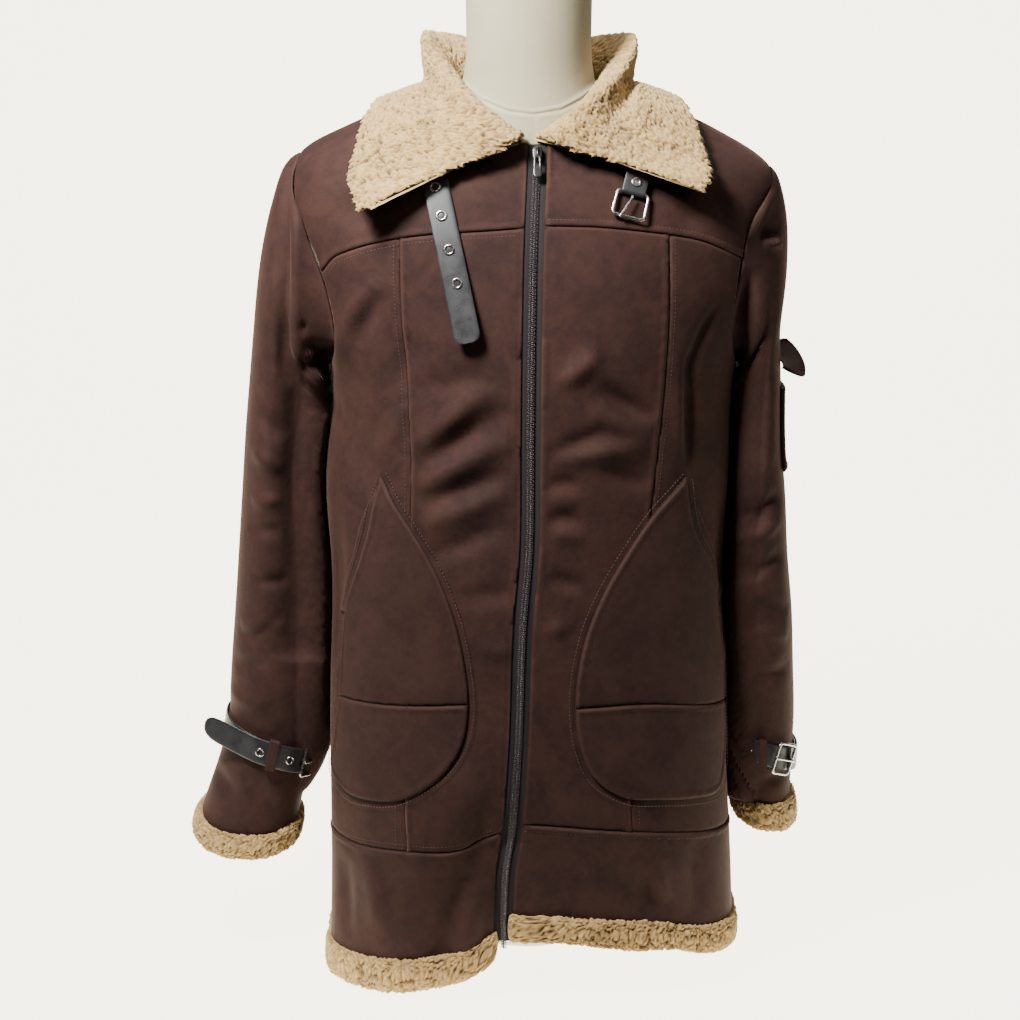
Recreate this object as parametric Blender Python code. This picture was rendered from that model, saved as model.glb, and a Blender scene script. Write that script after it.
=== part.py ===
"""A shearling aviator jacket standing on a limbless dress form.

The frame is in metres with +Z up, and the origin is the middle of the form's base, on the floor. The jacket
faces -Y, so the wearer's right is at -X. Sizes below are in millimetres.

The body of the jacket is one smooth surface, worked out from TORSO_ROWS. Every seam is a line drawn on its
front or back view, and a constrained triangulation cuts the surface into pieces along those lines, so that
neighbours share their facets and what lies on a panel is the same facets moved out.
"""

from functools import cache

import bpy
import numpy as np
from mathutils import Vector
from mathutils.geometry import delaunay_2d_cdt

MM = 0.001
WALL = 3.0  # bonded suede and fleece
SEAM_GAP = 0.2  # each side of a seam
RIGHT, LEFT = -1, 1  # the wearer's right is at -X
SIDE_NAMES = {RIGHT: "right", LEFT: "left"}

# ---------------------------------------------------------------- the body's surface

# One row for each ring of the body, from the hem to the neck. Rings rise over the shoulders, so each has a
# height at the front, at each side and at the back. Widest is the y of its side points, and square is the
# exponent of its superellipse.
TORSO_COLUMNS = ("level", "front_z", "right_z", "back_z", "left_z", "right", "left", "front", "widest",
                 "back", "square")
TORSO_ROWS = (
    (0, -20, -15, 20, 0, -197, 206, -188, -105, 104, 2.6),
    (120, 100, 108, 112, 110, -196, 203, -188, -85, 106, 2.6),
    (260, 240, 250, 250, 250, -197, 196, -184, -62, 104, 2.5),
    (400, 380, 390, 390, 390, -195, 194, -176, -45, 98, 2.3),
    (500, 480, 488, 490, 488, -199, 197, -170, -40, 92, 2.3),
    (610, 590, 596, 602, 596, -192, 201, -166, -40, 92, 2.3),
    (690, 662, 676, 684, 672, -217, 222, -160, -40, 94, 2.4),
    (765, 722, 746, 762, 736, -233, 237, -150, -40, 92, 2.4),
    (825, 760, 800, 812, 788, -219, 231, -138, -40, 84, 2.4),
    (880, 784, 828, 842, 824, -171, 178, -127, -40, 68, 2.3),
    (930, 800, 847, 862, 847, -120, 124, -119, -40, 44, 2.2),
    (975, 812, 862, 872, 862, -76, 76, -113, -42, 18, 2.1),
)
BOTTOM, TOP = TORSO_ROWS[0][0], TORSO_ROWS[-1][0]

# The body's largest folds, as ridges (height above 0) and troughs along a straight line of the front view.
FOLD_COLUMNS = ("x0", "z0", "x1", "z1", "width", "height")
FRONT_FOLDS = (
    (-120, 20, -70, 190, 60, 16),  # the right front swings forward beside the zip
    (-30, 60, -34, 150, 22, -8),  # and turns in beside it
    (-90, 70, -35, 165, 24, -4),
    (60, 40, 100, 210, 50, 5),
    (-190, 560, -140, 500, 16, -4),
)

MM_PER_DEGREE = 2.9


def smooth(xs, ys, x):
    """A smooth curve through the points (xs, ys), read at x: Hermite pieces with finite-difference slopes."""
    xs, ys, x = (np.asarray(a, float) for a in (xs, ys, x))
    secant = np.diff(ys) / np.diff(xs)
    slope = np.concatenate([secant[:1], (secant[1:] + secant[:-1]) / 2, secant[-1:]])
    i = np.clip(np.searchsorted(xs, x) - 1, 0, len(xs) - 2)
    width = xs[i + 1] - xs[i]
    t = (x - xs[i]) / width
    return (
        ys[i] * (1 + 2 * t) * (1 - t) ** 2
        + ys[i + 1] * t * t * (3 - 2 * t)
        + width * (slope[i] * t * (1 - t) ** 2 - slope[i + 1] * t * t * (1 - t))
    )


def column(rows, columns, name, at):
    """One column of a table, as the smooth curve through it read at values of the first column."""
    return smooth([row[0] for row in rows], [row[columns.index(name)] for row in rows], at)


def power(value, exponent):
    return np.sign(value) * np.abs(value) ** exponent


def torso_base(angle, level):
    """The body with no folds. Angle 0 is the wearer's left, 90 the back, 180 the right and 270 the front."""
    row = {name: column(TORSO_ROWS, TORSO_COLUMNS, name, level) for name in TORSO_COLUMNS[1:]}
    across, along = np.cos(np.radians(angle)), np.sin(np.radians(angle))
    middle, half = (row["left"] + row["right"]) / 2, (row["left"] - row["right"]) / 2
    reach = np.where(along < 0, row["widest"] - row["front"], row["back"] - row["widest"])
    side_z = np.where(across < 0, row["right_z"], row["left_z"])
    end_z = np.where(along < 0, row["front_z"], row["back_z"])
    return np.stack(
        [
            middle + half * power(across, 2 / row["square"]),
            row["widest"] + reach * power(along, 2 / row["square"]),
            side_z + (end_z - side_z) * along**2,
        ],
        -1,
    )


def distance_to_fold(x, z, fold):
    """Distance on the front view from the fold's straight line."""
    run, rise = fold["x1"] - fold["x0"], fold["z1"] - fold["z0"]
    t = np.clip(((x - fold["x0"]) * run + (z - fold["z0"]) * rise) / (run**2 + rise**2), 0, 1)
    return np.hypot(x - fold["x0"] - t * run, z - fold["z0"] - t * rise)


def torso(angle, level):
    """The body's outer surface with its folds, pushed out or in from the body's middle."""
    points = torso_base(angle, level)
    out = np.stack([np.cos(np.radians(angle)), np.sin(np.radians(angle))], -1)
    for row in FRONT_FOLDS:
        fold = dict(zip(FOLD_COLUMNS, row))
        away = distance_to_fold(points[..., 0], points[..., 2], fold)
        push = fold["height"] * np.exp(-((away / fold["width"]) ** 2)) * np.clip(-3 * out[..., 1], 0, 1)
        points[..., :2] += push[..., None] * out
    return points


def normals_of(surface, a, b, step_a=0.4, step_b=1.0):
    """Unit normals of surface(a, b), by central differences. They point out where a turns left as b rises."""
    across = surface(a + step_a, b) - surface(a - step_a, b)
    up = surface(a, b + step_b) - surface(a, b - step_b)
    normal = np.cross(across, up)
    return normal / np.linalg.norm(normal, axis=-1, keepdims=True)


def torso_normal(angle, level):
    return normals_of(torso, np.asarray(angle, float), np.clip(level, BOTTOM + 2, TOP - 2))


def place_on_torso(x, z, back=False):
    """(angle, level) of the body's point at x and height z on the front view, or on the back view."""
    x, z = np.asarray(x, float), np.asarray(z, float)
    low, high = np.full(x.shape, float(BOTTOM)), np.full(x.shape, float(TOP))
    for _ in range(40):
        level = (low + high) / 2
        angle = angle_at(x, level, back)
        above = torso_base(angle, level)[..., 2] > z
        high = np.where(above, level, high)
        low = np.where(above, low, level)
    return angle_at(x, level, back), level


def angle_at(x, level, back):
    right, left, square = (
        column(TORSO_ROWS, TORSO_COLUMNS, name, level) for name in ("right", "left", "square")
    )
    share = np.clip((x - (left + right) / 2) / ((left - right) / 2), -1, 1)
    turn = np.degrees(np.arccos(power(share, square / 2)))
    return turn if back else 360 - turn


# ---------------------------------------------------------------- seams and outlines

# Lines of the front view, as (x, z). The zip swings to the wearer's right towards the hem.
ZIP_LINE = ((8, 815), (4, 729), (2, 640), (1, 540), (0, 440), (-6, 365), (-10, 250), (-16, 170), (-22, 130),
            (-24, 90), (-24, -30))
TAPE = 9.0  # half the tapes' width
TAPE_LOW, TAPE_HIGH = -3.0, -2.1
YOKE_SEAM = {
    RIGHT: ((-245, 680), (-195, 694), (-182, 708), (-167, 715), (-136, 724), (-90, 731), (-45, 734), (-3, 737)),
    LEFT: ((250, 695), (198, 708), (178, 717), (157, 725), (131, 730), (93, 735), (59, 738), (11, 739)),
}
PRINCESS_SEAM = {
    RIGHT: ((-119, 731), (-118, 665), (-113, 590), (-110, 525), (-111, 473), (-113, 300), (-113, 196), (-109, 145)),
    LEFT: ((128, 734), (129, 665), (125, 585), (116, 490), (104, 320), (95, 200), (97, 162)),
}
BAND_SEAM = {
    RIGHT: ((-230, 147), (-185, 146), (-166, 145), (-108, 150), (-66, 153), (-50, 157), (-24, 171)),
    LEFT: ((230, 150), (197, 152), (144, 161), (99, 168), (46, 173), (-10, 178)),
}
HEM_TOP = {
    RIGHT: ((-230, 36), (-174, 35), (-124, 39), (-76, 46), (-52, 53), (-31, 67)),
    LEFT: ((240, 58), (194, 58), (170, 61), (122, 74), (90, 78), (36, 83), (-17, 84)),
}
HEM_BOTTOM = {
    RIGHT: ((-200, 5), (-166, 5), (-134, 6), (-108, 9), (-81, 15), (-54, 23), (-25, 46)),
    LEFT: ((240, 36), (186, 32), (160, 38), (142, 44), (103, 48), (40, 58), (-25, 57)),
}
# The same seams across the back view.
BACK_BAND_SEAM = ((-230, 147), (-120, 150), (0, 154), (230, 150))
BACK_HEM_TOP = ((-230, 36), (-120, 50), (0, 60), (120, 62), (230, 58))
BACK_HEM_BOTTOM = ((-230, 5), (-120, 20), (0, 32), (120, 36), (230, 36))

# Half an armhole, from the shoulder seam to the underarm, on the front view and on the back view.
ARMHOLE_FRONT = {
    RIGHT: ((-217, 802), (-222, 778), (-220, 755), (-208, 727), (-196, 697), (-186, 655), (-183, 620), (-192, 600)),
    LEFT: ((231, 789), (228, 770), (219, 757), (209, 742), (202, 720), (195, 670), (194, 628), (201, 600)),
}
ARMHOLE_BACK = {
    RIGHT: ((-217, 802), (-218, 775), (-213, 740), (-204, 700), (-195, 655), (-186, 622), (-192, 600)),
    LEFT: ((231, 789), (226, 765), (216, 735), (208, 700), (202, 660), (196, 624), (201, 600)),
}
ARMHOLE_STEPS = 9  # facets along each half of an armhole

# The pockets: a large teardrop patch, its opening on the side of its apex, and a seam across it.
POCKET = {
    RIGHT: ((-141, 506), (-126, 482), (-107, 454), (-85, 415), (-69, 372), (-60, 328), (-57, 292), (-61, 258),
            (-74, 232), (-94, 212), (-117, 199), (-145, 193), (-172, 193), (-189, 206), (-187, 241), (-181, 290),
            (-180, 330), (-176, 367), (-158, 426), (-150, 455)),
    LEFT: ((147, 503), (134, 490), (115, 470), (91, 436), (72, 404), (56, 367), (47, 330), (44, 291), (48, 255),
           (62, 222), (90, 203), (121, 198), (155, 193), (183, 192), (190, 215), (190, 279), (189, 343),
           (186, 374), (174, 413), (155, 454)),
}
POCKET_SEAM = {
    RIGHT: ((-190, 284), (-136, 287), (-64, 293), (-54, 294)),
    LEFT: ((41, 290), (114, 290), (194, 274)),
}
FACING = {
    RIGHT: ((-142, 503), (-161, 453), (-167, 428), (-177, 398), (-187, 362), (-172, 370), (-155, 425), (-147, 455)),
    LEFT: ((148, 500), (164, 463), (177, 434), (187, 400), (192, 374), (183, 371), (170, 412), (152, 452)),
}
POCKET_OUT, POCKET_THICK, FACING_THICK = 0.6, 2.6, 1.6
TRIM_OUT, TRIM_IN = 5.0, -6.0  # how far the fleece edge stands out of the suede, and inside it

# The facets' size: how far apart their corners lie round the body, up it and along its seams.
FRONT_STEP_ANGLE, BACK_STEP_ANGLE, STEP_LEVEL = 10.0, 15.0, 34.0
LINE_STEP, KEEP_CLEAR, MERGE = 30.0, 11.0, 0.6


def curve_through(points, step=LINE_STEP, count=None):
    """Points at equal steps along the smooth curve through the given points."""
    points = np.asarray(points, float)
    length = np.concatenate([[0], np.cumsum(np.linalg.norm(np.diff(points, axis=0), axis=1))])
    count = count or max(2, int(np.ceil(length[-1] / step)))
    at = np.linspace(0, length[-1], count + 1)
    return np.stack([smooth(length, points[:, i], at) for i in range(points.shape[1])], 1)


def flat_of(xz, back=False):
    """Points of the front or back view, as flat coordinates in which the body is cut."""
    xz = np.asarray(xz, float)
    angle, level = place_on_torso(xz[:, 0], xz[:, 1], back)
    return np.stack([angle * MM_PER_DEGREE, level], 1)


def inside(polygon, points):
    """Which points lie inside a closed polygon, by counting the edges above each."""
    a, b = polygon, np.roll(polygon, -1, 0)
    x, y = points[:, None, 0], points[:, None, 1]
    spans = (a[None, :, 0] > x) != (b[None, :, 0] > x)
    rise = np.where(b[:, 0] == a[:, 0], 1, b[:, 0] - a[:, 0])
    height = a[None, :, 1] + (x - a[None, :, 0]) * (b[:, 1] - a[:, 1])[None] / rise[None]
    return (spans & (height > y)).sum(1) % 2 == 1


def distance_to_lines(points, lines):
    best = np.full(len(points), np.inf)
    for line in lines:
        for a, b in zip(line[:-1], line[1:]):
            run = b - a
            t = np.clip((points - a) @ run / max(run @ run, 1e-9), 0, 1)
            best = np.minimum(best, np.linalg.norm(points - a - t[:, None] * run, axis=1))
    return best


def cut_flat(lines, low_angle, high_angle, step_angle):
    """The flat rectangle between two angles, triangulated so that every line is a row of edges."""
    angles = np.arange(low_angle, high_angle + 0.1, step_angle)
    levels = np.linspace(BOTTOM, TOP, int(round((TOP - BOTTOM) / STEP_LEVEL)) + 1)
    box = [
        [(low_angle, level) for level in levels],
        [(high_angle, level) for level in levels],
        [(angle, BOTTOM) for angle in angles],
        [(angle, TOP) for angle in angles],
    ]
    scale = np.array([MM_PER_DEGREE, 1])
    lines = [np.array(side, float) * scale for side in box] + lines
    grid = np.array([(a, v) for a in angles[1:-1] for v in levels[1:-1]], float) * scale
    grid = grid[distance_to_lines(grid, lines) > KEEP_CLEAR]
    points, edges = [tuple(p) for p in grid], []
    for line in lines:
        start = len(points)
        points += [tuple(p) for p in line]
        edges += [(start + i, start + i + 1) for i in range(len(line) - 1)]
    found = delaunay_2d_cdt([Vector(p) for p in points], edges, [], 0, MERGE)
    flat = np.array([tuple(v) for v in found[0]], float)
    faces = np.array([tuple(f) for f in found[2]], int)
    corners = flat[faces]
    area = np.cross(corners[:, 1] - corners[:, 0], corners[:, 2] - corners[:, 0])
    faces[area < 0] = faces[area < 0][:, ::-1]
    return flat, faces[np.abs(area) > 1e-4]


def above(line, points):
    """Whether each flat point lies above a line that runs across the body."""
    order = np.argsort(line[:, 0])
    return points[:, 1] > np.interp(points[:, 0], line[order, 0], line[order, 1])


def right_of(line, points):
    """Whether each flat point lies at a higher angle than a line that runs up the body."""
    order = np.argsort(line[:, 1])
    return points[:, 0] > np.interp(points[:, 1], line[order, 1], line[order, 0])


# ---------------------------------------------------------------- making objects


def material(name, colour, roughness, metallic=0.0):
    """A plain Principled material. Colour is sRGB, from 0 to 255."""
    made = bpy.data.materials.get(name) or bpy.data.materials.new(name)
    made.use_nodes = True
    shader = made.node_tree.nodes["Principled BSDF"]
    srgb = np.array(colour) / 255
    linear = np.where(srgb <= 0.04045, srgb / 12.92, ((srgb + 0.055) / 1.055) ** 2.4)
    shader.inputs["Base Color"].default_value = (*linear, 1)
    shader.inputs["Roughness"].default_value = roughness
    shader.inputs["Metallic"].default_value = metallic
    return made


SUEDE = ("suede", (74, 49, 42), 0.85)
POCKET_SUEDE = ("pocket suede", (64, 42, 36), 0.85)
FLEECE = ("sherpa fleece", (205, 184, 146), 0.95)
LEATHER = ("black leather", (38, 36, 40), 0.45)
METAL = ("nickel", (190, 190, 188), 0.3, 1.0)
COIL = ("nylon coil", (52, 45, 45), 0.5)
TAPE_CLOTH = ("zip tape", (66, 57, 57), 0.7)
CANVAS = ("canvas", (198, 192, 172), 0.85)
STEEL = ("painted steel", (225, 222, 214), 0.45, 0.3)


def add_object(name, points, faces, finish):
    """An object from points in millimetres and faces that look out."""
    mesh = bpy.data.meshes.new(name)
    mesh.from_pydata((np.asarray(points) * MM).tolist(), [], [tuple(int(i) for i in f) for f in faces])
    mesh.materials.append(material(*finish))
    made = bpy.data.objects.new(name, mesh)
    bpy.context.scene.collection.objects.link(made)
    return made


def slab(name, outer, inner, faces, finish):
    """A closed wall between two sheets with the same faces, with a rim along every open edge."""
    faces = [tuple(int(i) for i in face) for face in faces]
    edges = {(f[i], f[(i + 1) % len(f)]) for f in faces for i in range(len(f))}
    rim = [(a, b) for a, b in edges if (b, a) not in edges]
    shift = len(outer)
    walls = [(b, a, a + shift, b + shift) for a, b in rim]
    back = [tuple(i + shift for i in reversed(face)) for face in faces]
    return add_object(name, np.concatenate([outer, inner]), faces + back + walls, finish)


def used_only(faces, *arrays):
    """The same faces on only the points that they use."""
    keep, index = np.unique(faces, return_inverse=True)
    return index.reshape(faces.shape), [array[keep] for array in arrays]


def shrunk(flat, faces, gap):
    """Flat points with those on the open edges moved in by the gap."""
    edges = {(f[i], f[(i + 1) % 3]) for f in faces for i in range(3)}
    moves = {}
    for a, b in edges:
        if (b, a) in edges:
            continue
        run = (flat[b] - flat[a]) / np.linalg.norm(flat[b] - flat[a])
        for end in (a, b):
            moves.setdefault(end, []).append(np.array([-run[1], run[0]]))
    moved = flat.copy()
    for end, inwards in moves.items():
        total = np.sum(inwards, 0)
        moved[end] += gap * total / max(0.4, 1 + inwards[0] @ inwards[-1])
    return moved


# ---------------------------------------------------------------- sleeves

# One row for each ring of a sleeve: its outer point and its inner point on the front view, and how far it
# reaches to the front and back. Drop lowers its front and lifts its back. Row 0 is the armhole itself, and
# the first rings blend into it.
SLEEVE_COLUMNS = ("ring", "out_x", "out_z", "in_x", "in_z", "front", "back", "drop")
SLEEVE_ROWS = {
    RIGHT: (
        (0, -223, 803, -192, 600, -112, 32, 0),
        (1, -246, 784, -200, 594, -110, 38, 0),
        (2, -254, 745, -203, 582, -106, 46, 0),
        (3, -261, 700, -205, 564, -102, 52, 0),
        (4, -267, 645, -205, 540, -100, 56, 0),
        (5, -273, 588, -205, 508, -100, 57, 0),
        (6, -279, 530, -205, 470, -100, 57, 0),
        (7, -284, 470, -204, 425, -100, 56, 0),
        (8, -289, 410, -203, 378, -99, 53, 0),
        (9, -294, 350, -202, 330, -98, 46, 0),
        (10, -299, 292, -203, 282, -96, 36, 0),
        (11, -302, 245, -210, 238, -93, 25, 0),
        (12, -312, 202, -220, 195, -91, 16, 4),
        (13, -330, 150, -232, 145, -91, 12, 9),
        (14, -338, 122, -237, 116, -93, 10, 14),
    ),
    LEFT: (
        (0, 235, 790, 201, 600, -106, 34, 0),
        (1, 246, 775, 213, 597, -102, 40, 0),
        (2, 253, 738, 214, 584, -98, 48, 0),
        (3, 252, 695, 211, 564, -94, 54, 0),
        (4, 246, 642, 208, 540, -92, 58, 0),
        (5, 248, 586, 206, 508, -92, 60, 0),
        (6, 250, 530, 204, 470, -92, 60, 0),
        (7, 256, 470, 202, 425, -91, 58, 0),
        (8, 260, 410, 201, 378, -90, 54, 0),
        (9, 266, 350, 201, 328, -88, 48, 0),
        (10, 269, 292, 202, 280, -84, 40, 0),
        (11, 271, 245, 205, 235, -80, 30, 0),
        (12, 270, 202, 209, 200, -76, 22, 2),
        (13, 269, 160, 212, 164, -73, 17, 6),
        (14, 272, 132, 214, 140, -73, 15, 9),
    ),
}
CUFF_TRIM_RING = {RIGHT: 13.25, LEFT: 13.05}
CUFF_TRIM_COLUMNS = ("share", "lift", "sink")  # how far along it, and how far out of and into the sleeve
CUFF_TRIM_ROWS = ((0, 3.0, -5.0), (0.33, 6.0, -7.0), (0.67, 6.0, -7.0), (1, 2.5, -4.0))
TRIM_GAP = 0.01  # in rings
SLEEVE_RINGS = 15
BLEND_RINGS = 4.0
SLEEVE_SIDES = 2 * ARMHOLE_STEPS
SLEEVE_SQUARE = 2.2
SLEEVE_ANGLES = np.arange(SLEEVE_SIDES) * 360 / SLEEVE_SIDES

# A sleeve's deepest folds: where they lie around it (0 outer, 90 front, 180 inner), between which rings.
SLEEVE_FOLD_COLUMNS = ("angle", "first", "last", "width", "height")
SLEEVE_FOLDS = {
    RIGHT: ((112, 3, 9.5, 24, -15), (60, 6, 9.5, 26, -4), (150, 1.5, 4, 20, -5)),
    LEFT: ((120, 2, 8, 26, -7), (75, 6, 9.5, 22, -4)),
}


@cache
def armhole(side):
    """The armhole's loop: top, front, underarm and back again, as (angle, level) and as points."""
    front = curve_through(flat_of(ARMHOLE_FRONT[side]), count=ARMHOLE_STEPS)
    back = curve_through(flat_of(ARMHOLE_BACK[side], back=True), count=ARMHOLE_STEPS)
    edge = 180 if side == RIGHT else 360
    front[[0, -1], 0] = edge * MM_PER_DEGREE
    back[[0, -1], 0] = edge % 360 * MM_PER_DEGREE
    back[[0, -1], 1] = front[[0, -1], 1]
    return front, back


@cache
def armhole_points(side):
    front, back = armhole(side)
    loop = np.concatenate([front, back[::-1][1:-1]])
    return torso(loop[:, 0] / MM_PER_DEGREE, loop[:, 1])


def sleeve_oval(side, turn, ring):
    """A point of the sleeve's ovals, before they blend into the armhole."""
    row = {n: column(SLEEVE_ROWS[side], SLEEVE_COLUMNS, n, ring) for n in SLEEVE_COLUMNS[1:]}
    across, along = np.cos(np.radians(turn)), np.sin(np.radians(turn))
    outer = np.stack([row["out_x"], np.zeros_like(ring), row["out_z"]], -1)
    inner = np.stack([row["in_x"], np.zeros_like(ring), row["in_z"]], -1)
    share = (1 + power(across, 2 / SLEEVE_SQUARE)) / 2
    points = outer * share[..., None] + inner * (1 - share)[..., None]
    middle = (row["front"] + row["back"]) / 2
    points[..., 1] = middle - (row["back"] - row["front"]) / 2 * power(along, 2 / SLEEVE_SQUARE)
    points[..., 2] -= row["drop"] * along
    return points


def sleeve(side, turn, ring):
    """The sleeve's outer surface: turn runs round it and ring runs down it."""
    turn, ring = np.broadcast_arrays(np.asarray(turn, float), np.asarray(ring, float))
    points = sleeve_oval(side, turn, ring)
    loop = armhole_points(side)
    loop = np.concatenate([loop, loop[:1]])
    around = np.linspace(0, 360, len(loop))
    start = np.stack([np.interp(turn % 360, around, loop[:, i]) for i in range(3)], -1)
    share = np.clip(ring / BLEND_RINGS, 0, 1)
    share = (share * (2 - share))[..., None]
    points = start * (1 - share) + points * share
    middle = (sleeve_oval(side, turn * 0, ring) + sleeve_oval(side, turn * 0 + 180, ring)) / 2
    out = points - middle
    out[..., 2] = 0
    out /= np.linalg.norm(out, axis=-1, keepdims=True) + 1e-6
    for row in SLEEVE_FOLDS[side]:
        fold = dict(zip(SLEEVE_FOLD_COLUMNS, row))
        length = np.clip((ring - fold["first"]) * (fold["last"] - ring), 0, None)
        length = length / (length + 1)
        away = (turn - fold["angle"] + 180) % 360 - 180
        points += (fold["height"] * np.exp(-((away / fold["width"]) ** 2)) * length)[..., None] * out
    return points


def sleeve_normal(side, turn, ring):
    """Outward normals. The turn goes the other way round on the wearer's left, so the sign changes there."""
    found = normals_of(lambda a, b: sleeve(side, a, b), turn, np.maximum(ring, 0.35), 4.0, 0.3)
    return found * side


def armhole_normal(side):
    """Along an armhole, the direction halfway between the body's normal and the sleeve's, and its stretch."""
    front, back = armhole(side)
    loop = np.concatenate([front, back[::-1][1:-1]])
    body = torso_normal(loop[:, 0] / MM_PER_DEGREE, loop[:, 1])
    arm = sleeve_normal(side, SLEEVE_ANGLES, np.full(SLEEVE_SIDES, 0.5))
    both = body + arm
    both /= np.linalg.norm(both, axis=1, keepdims=True)
    return both / np.clip((both * body).sum(1), 0.6, 1)[:, None]


# ---------------------------------------------------------------- the body's panels


def with_armhole_normals(flat, normals, edges):
    """Normals, with those of points on an armhole's edge replaced by the direction halfway to the sleeve."""
    for line, line_normals in edges:
        for a, b, normal_a, normal_b in zip(line[:-1], line[1:], line_normals[:-1], line_normals[1:]):
            run = b - a
            t = np.clip((flat - a) @ run / (run @ run), 0, 1)
            near = np.linalg.norm(flat - a - t[:, None] * run, axis=1) < 1.0
            blend = normal_a * (1 - t[:, None]) + normal_b * t[:, None]
            normals[near] = blend[near]
    return normals


def torso_piece(name, flat, faces, mask, low, high, finish, edges=()):
    """The masked facets of the body as a wall from low to high, measured out from the body's surface."""
    chosen, (points,) = used_only(faces[mask], flat)
    angle, level = points[:, 0] / MM_PER_DEGREE, points[:, 1]
    surface = torso(angle, level)
    inwards = shrunk(points, chosen, 1.0)
    moved = torso(inwards[:, 0] / MM_PER_DEGREE, inwards[:, 1]) - surface
    length = np.linalg.norm(inwards - points, axis=1) / (np.linalg.norm(moved, axis=1) + 1e-9)
    surface += SEAM_GAP * moved * length[:, None]
    normals = with_armhole_normals(points, torso_normal(angle, level), edges)
    return slab(name, surface + normals * high, surface + normals * low, chosen, finish)


def front_lines():
    """Every line that cuts the front, in flat coordinates, by name."""
    lines = {("tape", offset): flat_of([(x + offset, z) for x, z in curve_through(ZIP_LINE)])
             for offset in (-TAPE, 0, TAPE)}
    for side in (RIGHT, LEFT):
        for name, table in (("yoke", YOKE_SEAM), ("princess", PRINCESS_SEAM), ("band", BAND_SEAM),
                            ("hem top", HEM_TOP), ("hem bottom", HEM_BOTTOM), ("pocket seam", POCKET_SEAM)):
            lines[name, side] = flat_of(curve_through(table[side]))
        for name, table in (("pocket", POCKET), ("facing", FACING)):
            lines[name, side] = flat_of(curve_through(table[side] + table[side][:1]))
        lines["armhole", side] = armhole(side)[0]
    return lines


def build_front():
    lines = front_lines()
    flat, faces = cut_flat(list(lines.values()), 180, 360, FRONT_STEP_ANGLE)
    middle = flat[faces].mean(1)
    edges = []
    for side in (RIGHT, LEFT):
        normals = armhole_normal(side)[: ARMHOLE_STEPS + 1]
        edges.append((lines["armhole", side], normals))
    for side in (RIGHT, LEFT):
        word = SIDE_NAMES[side]
        mine = right_of(lines["tape", 0], middle) == (side == LEFT)
        tape = right_of(lines["tape", -TAPE], middle) & ~right_of(lines["tape", TAPE], middle)
        on_body = mine & ~inside(lines["armhole", side], middle) & above(lines["hem bottom", side], middle)
        cloth = on_body & ~tape
        yoke = above(lines["yoke", side], middle)
        band = ~above(lines["band", side], middle)
        trim = ~above(lines["hem top", side], middle)
        outer = right_of(lines["princess", side], middle) == (side == LEFT)
        between = cloth & ~yoke & ~band
        for name, mask in (
            ("front_yoke", cloth & yoke),
            ("front_centre", between & ~outer),
            ("front_side", between & outer),
            ("hem_band", cloth & band & ~trim),
        ):
            torso_piece(f"{name}_{word}", flat, faces, mask, -WALL, 0, SUEDE, edges)
        torso_piece(f"hem_trim_{word}", flat, faces, cloth & trim, TRIM_IN, TRIM_OUT, FLEECE)
        torso_piece(f"zip_tape_{word}", flat, faces, on_body & tape, TAPE_LOW, TAPE_HIGH, TAPE_CLOTH)
        in_pocket = inside(lines["pocket", side][:-1], middle)
        high = above(lines["pocket seam", side], middle)
        low_lift, high_lift = POCKET_OUT, POCKET_OUT + POCKET_THICK
        torso_piece(f"pocket_upper_{word}", flat, faces, in_pocket & high, low_lift, high_lift, POCKET_SUEDE)
        torso_piece(f"pocket_lower_{word}", flat, faces, in_pocket & ~high, low_lift, high_lift, POCKET_SUEDE)
        in_facing = inside(lines["facing", side][:-1], middle) & ~in_pocket
        torso_piece(f"pocket_facing_{word}", flat, faces, in_facing, POCKET_OUT, POCKET_OUT + FACING_THICK, SUEDE)


def build_back():
    holes = {side: armhole(side)[1] for side in (RIGHT, LEFT)}
    band, trim, bottom = (
        flat_of(curve_through(line), back=True) for line in (BACK_BAND_SEAM, BACK_HEM_TOP, BACK_HEM_BOTTOM)
    )
    flat, faces = cut_flat([*holes.values(), band, trim, bottom], 0, 180, BACK_STEP_ANGLE)
    middle = flat[faces].mean(1)
    edges = []
    for side in (RIGHT, LEFT):
        normals = armhole_normal(side)
        edges.append((holes[side], np.concatenate([normals[:1], normals[ARMHOLE_STEPS:][::-1]])))
    cloth = above(bottom, middle) & ~inside(holes[RIGHT], middle) & ~inside(holes[LEFT], middle)
    above_trim, above_band = above(trim, middle), above(band, middle)
    torso_piece("back_panel", flat, faces, cloth & above_band, -WALL, 0, SUEDE, edges)
    torso_piece("hem_band_back", flat, faces, cloth & above_trim & ~above_band, -WALL, 0, SUEDE)
    torso_piece("hem_trim_back", flat, faces, cloth & ~above_trim, TRIM_IN, TRIM_OUT, FLEECE)


# ---------------------------------------------------------------- sleeves and cuffs


def tube_faces(rings, sides, flip):
    """Quads of a tube of rings, wound to face out. Flip turns them round."""
    faces = []
    for ring in range(rings - 1):
        for i in range(sides):
            j = (i + 1) % sides
            face = (ring * sides + i, (ring + 1) * sides + i, (ring + 1) * sides + j, ring * sides + j)
            faces.append(face[::-1] if flip else face)
    return faces


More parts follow.
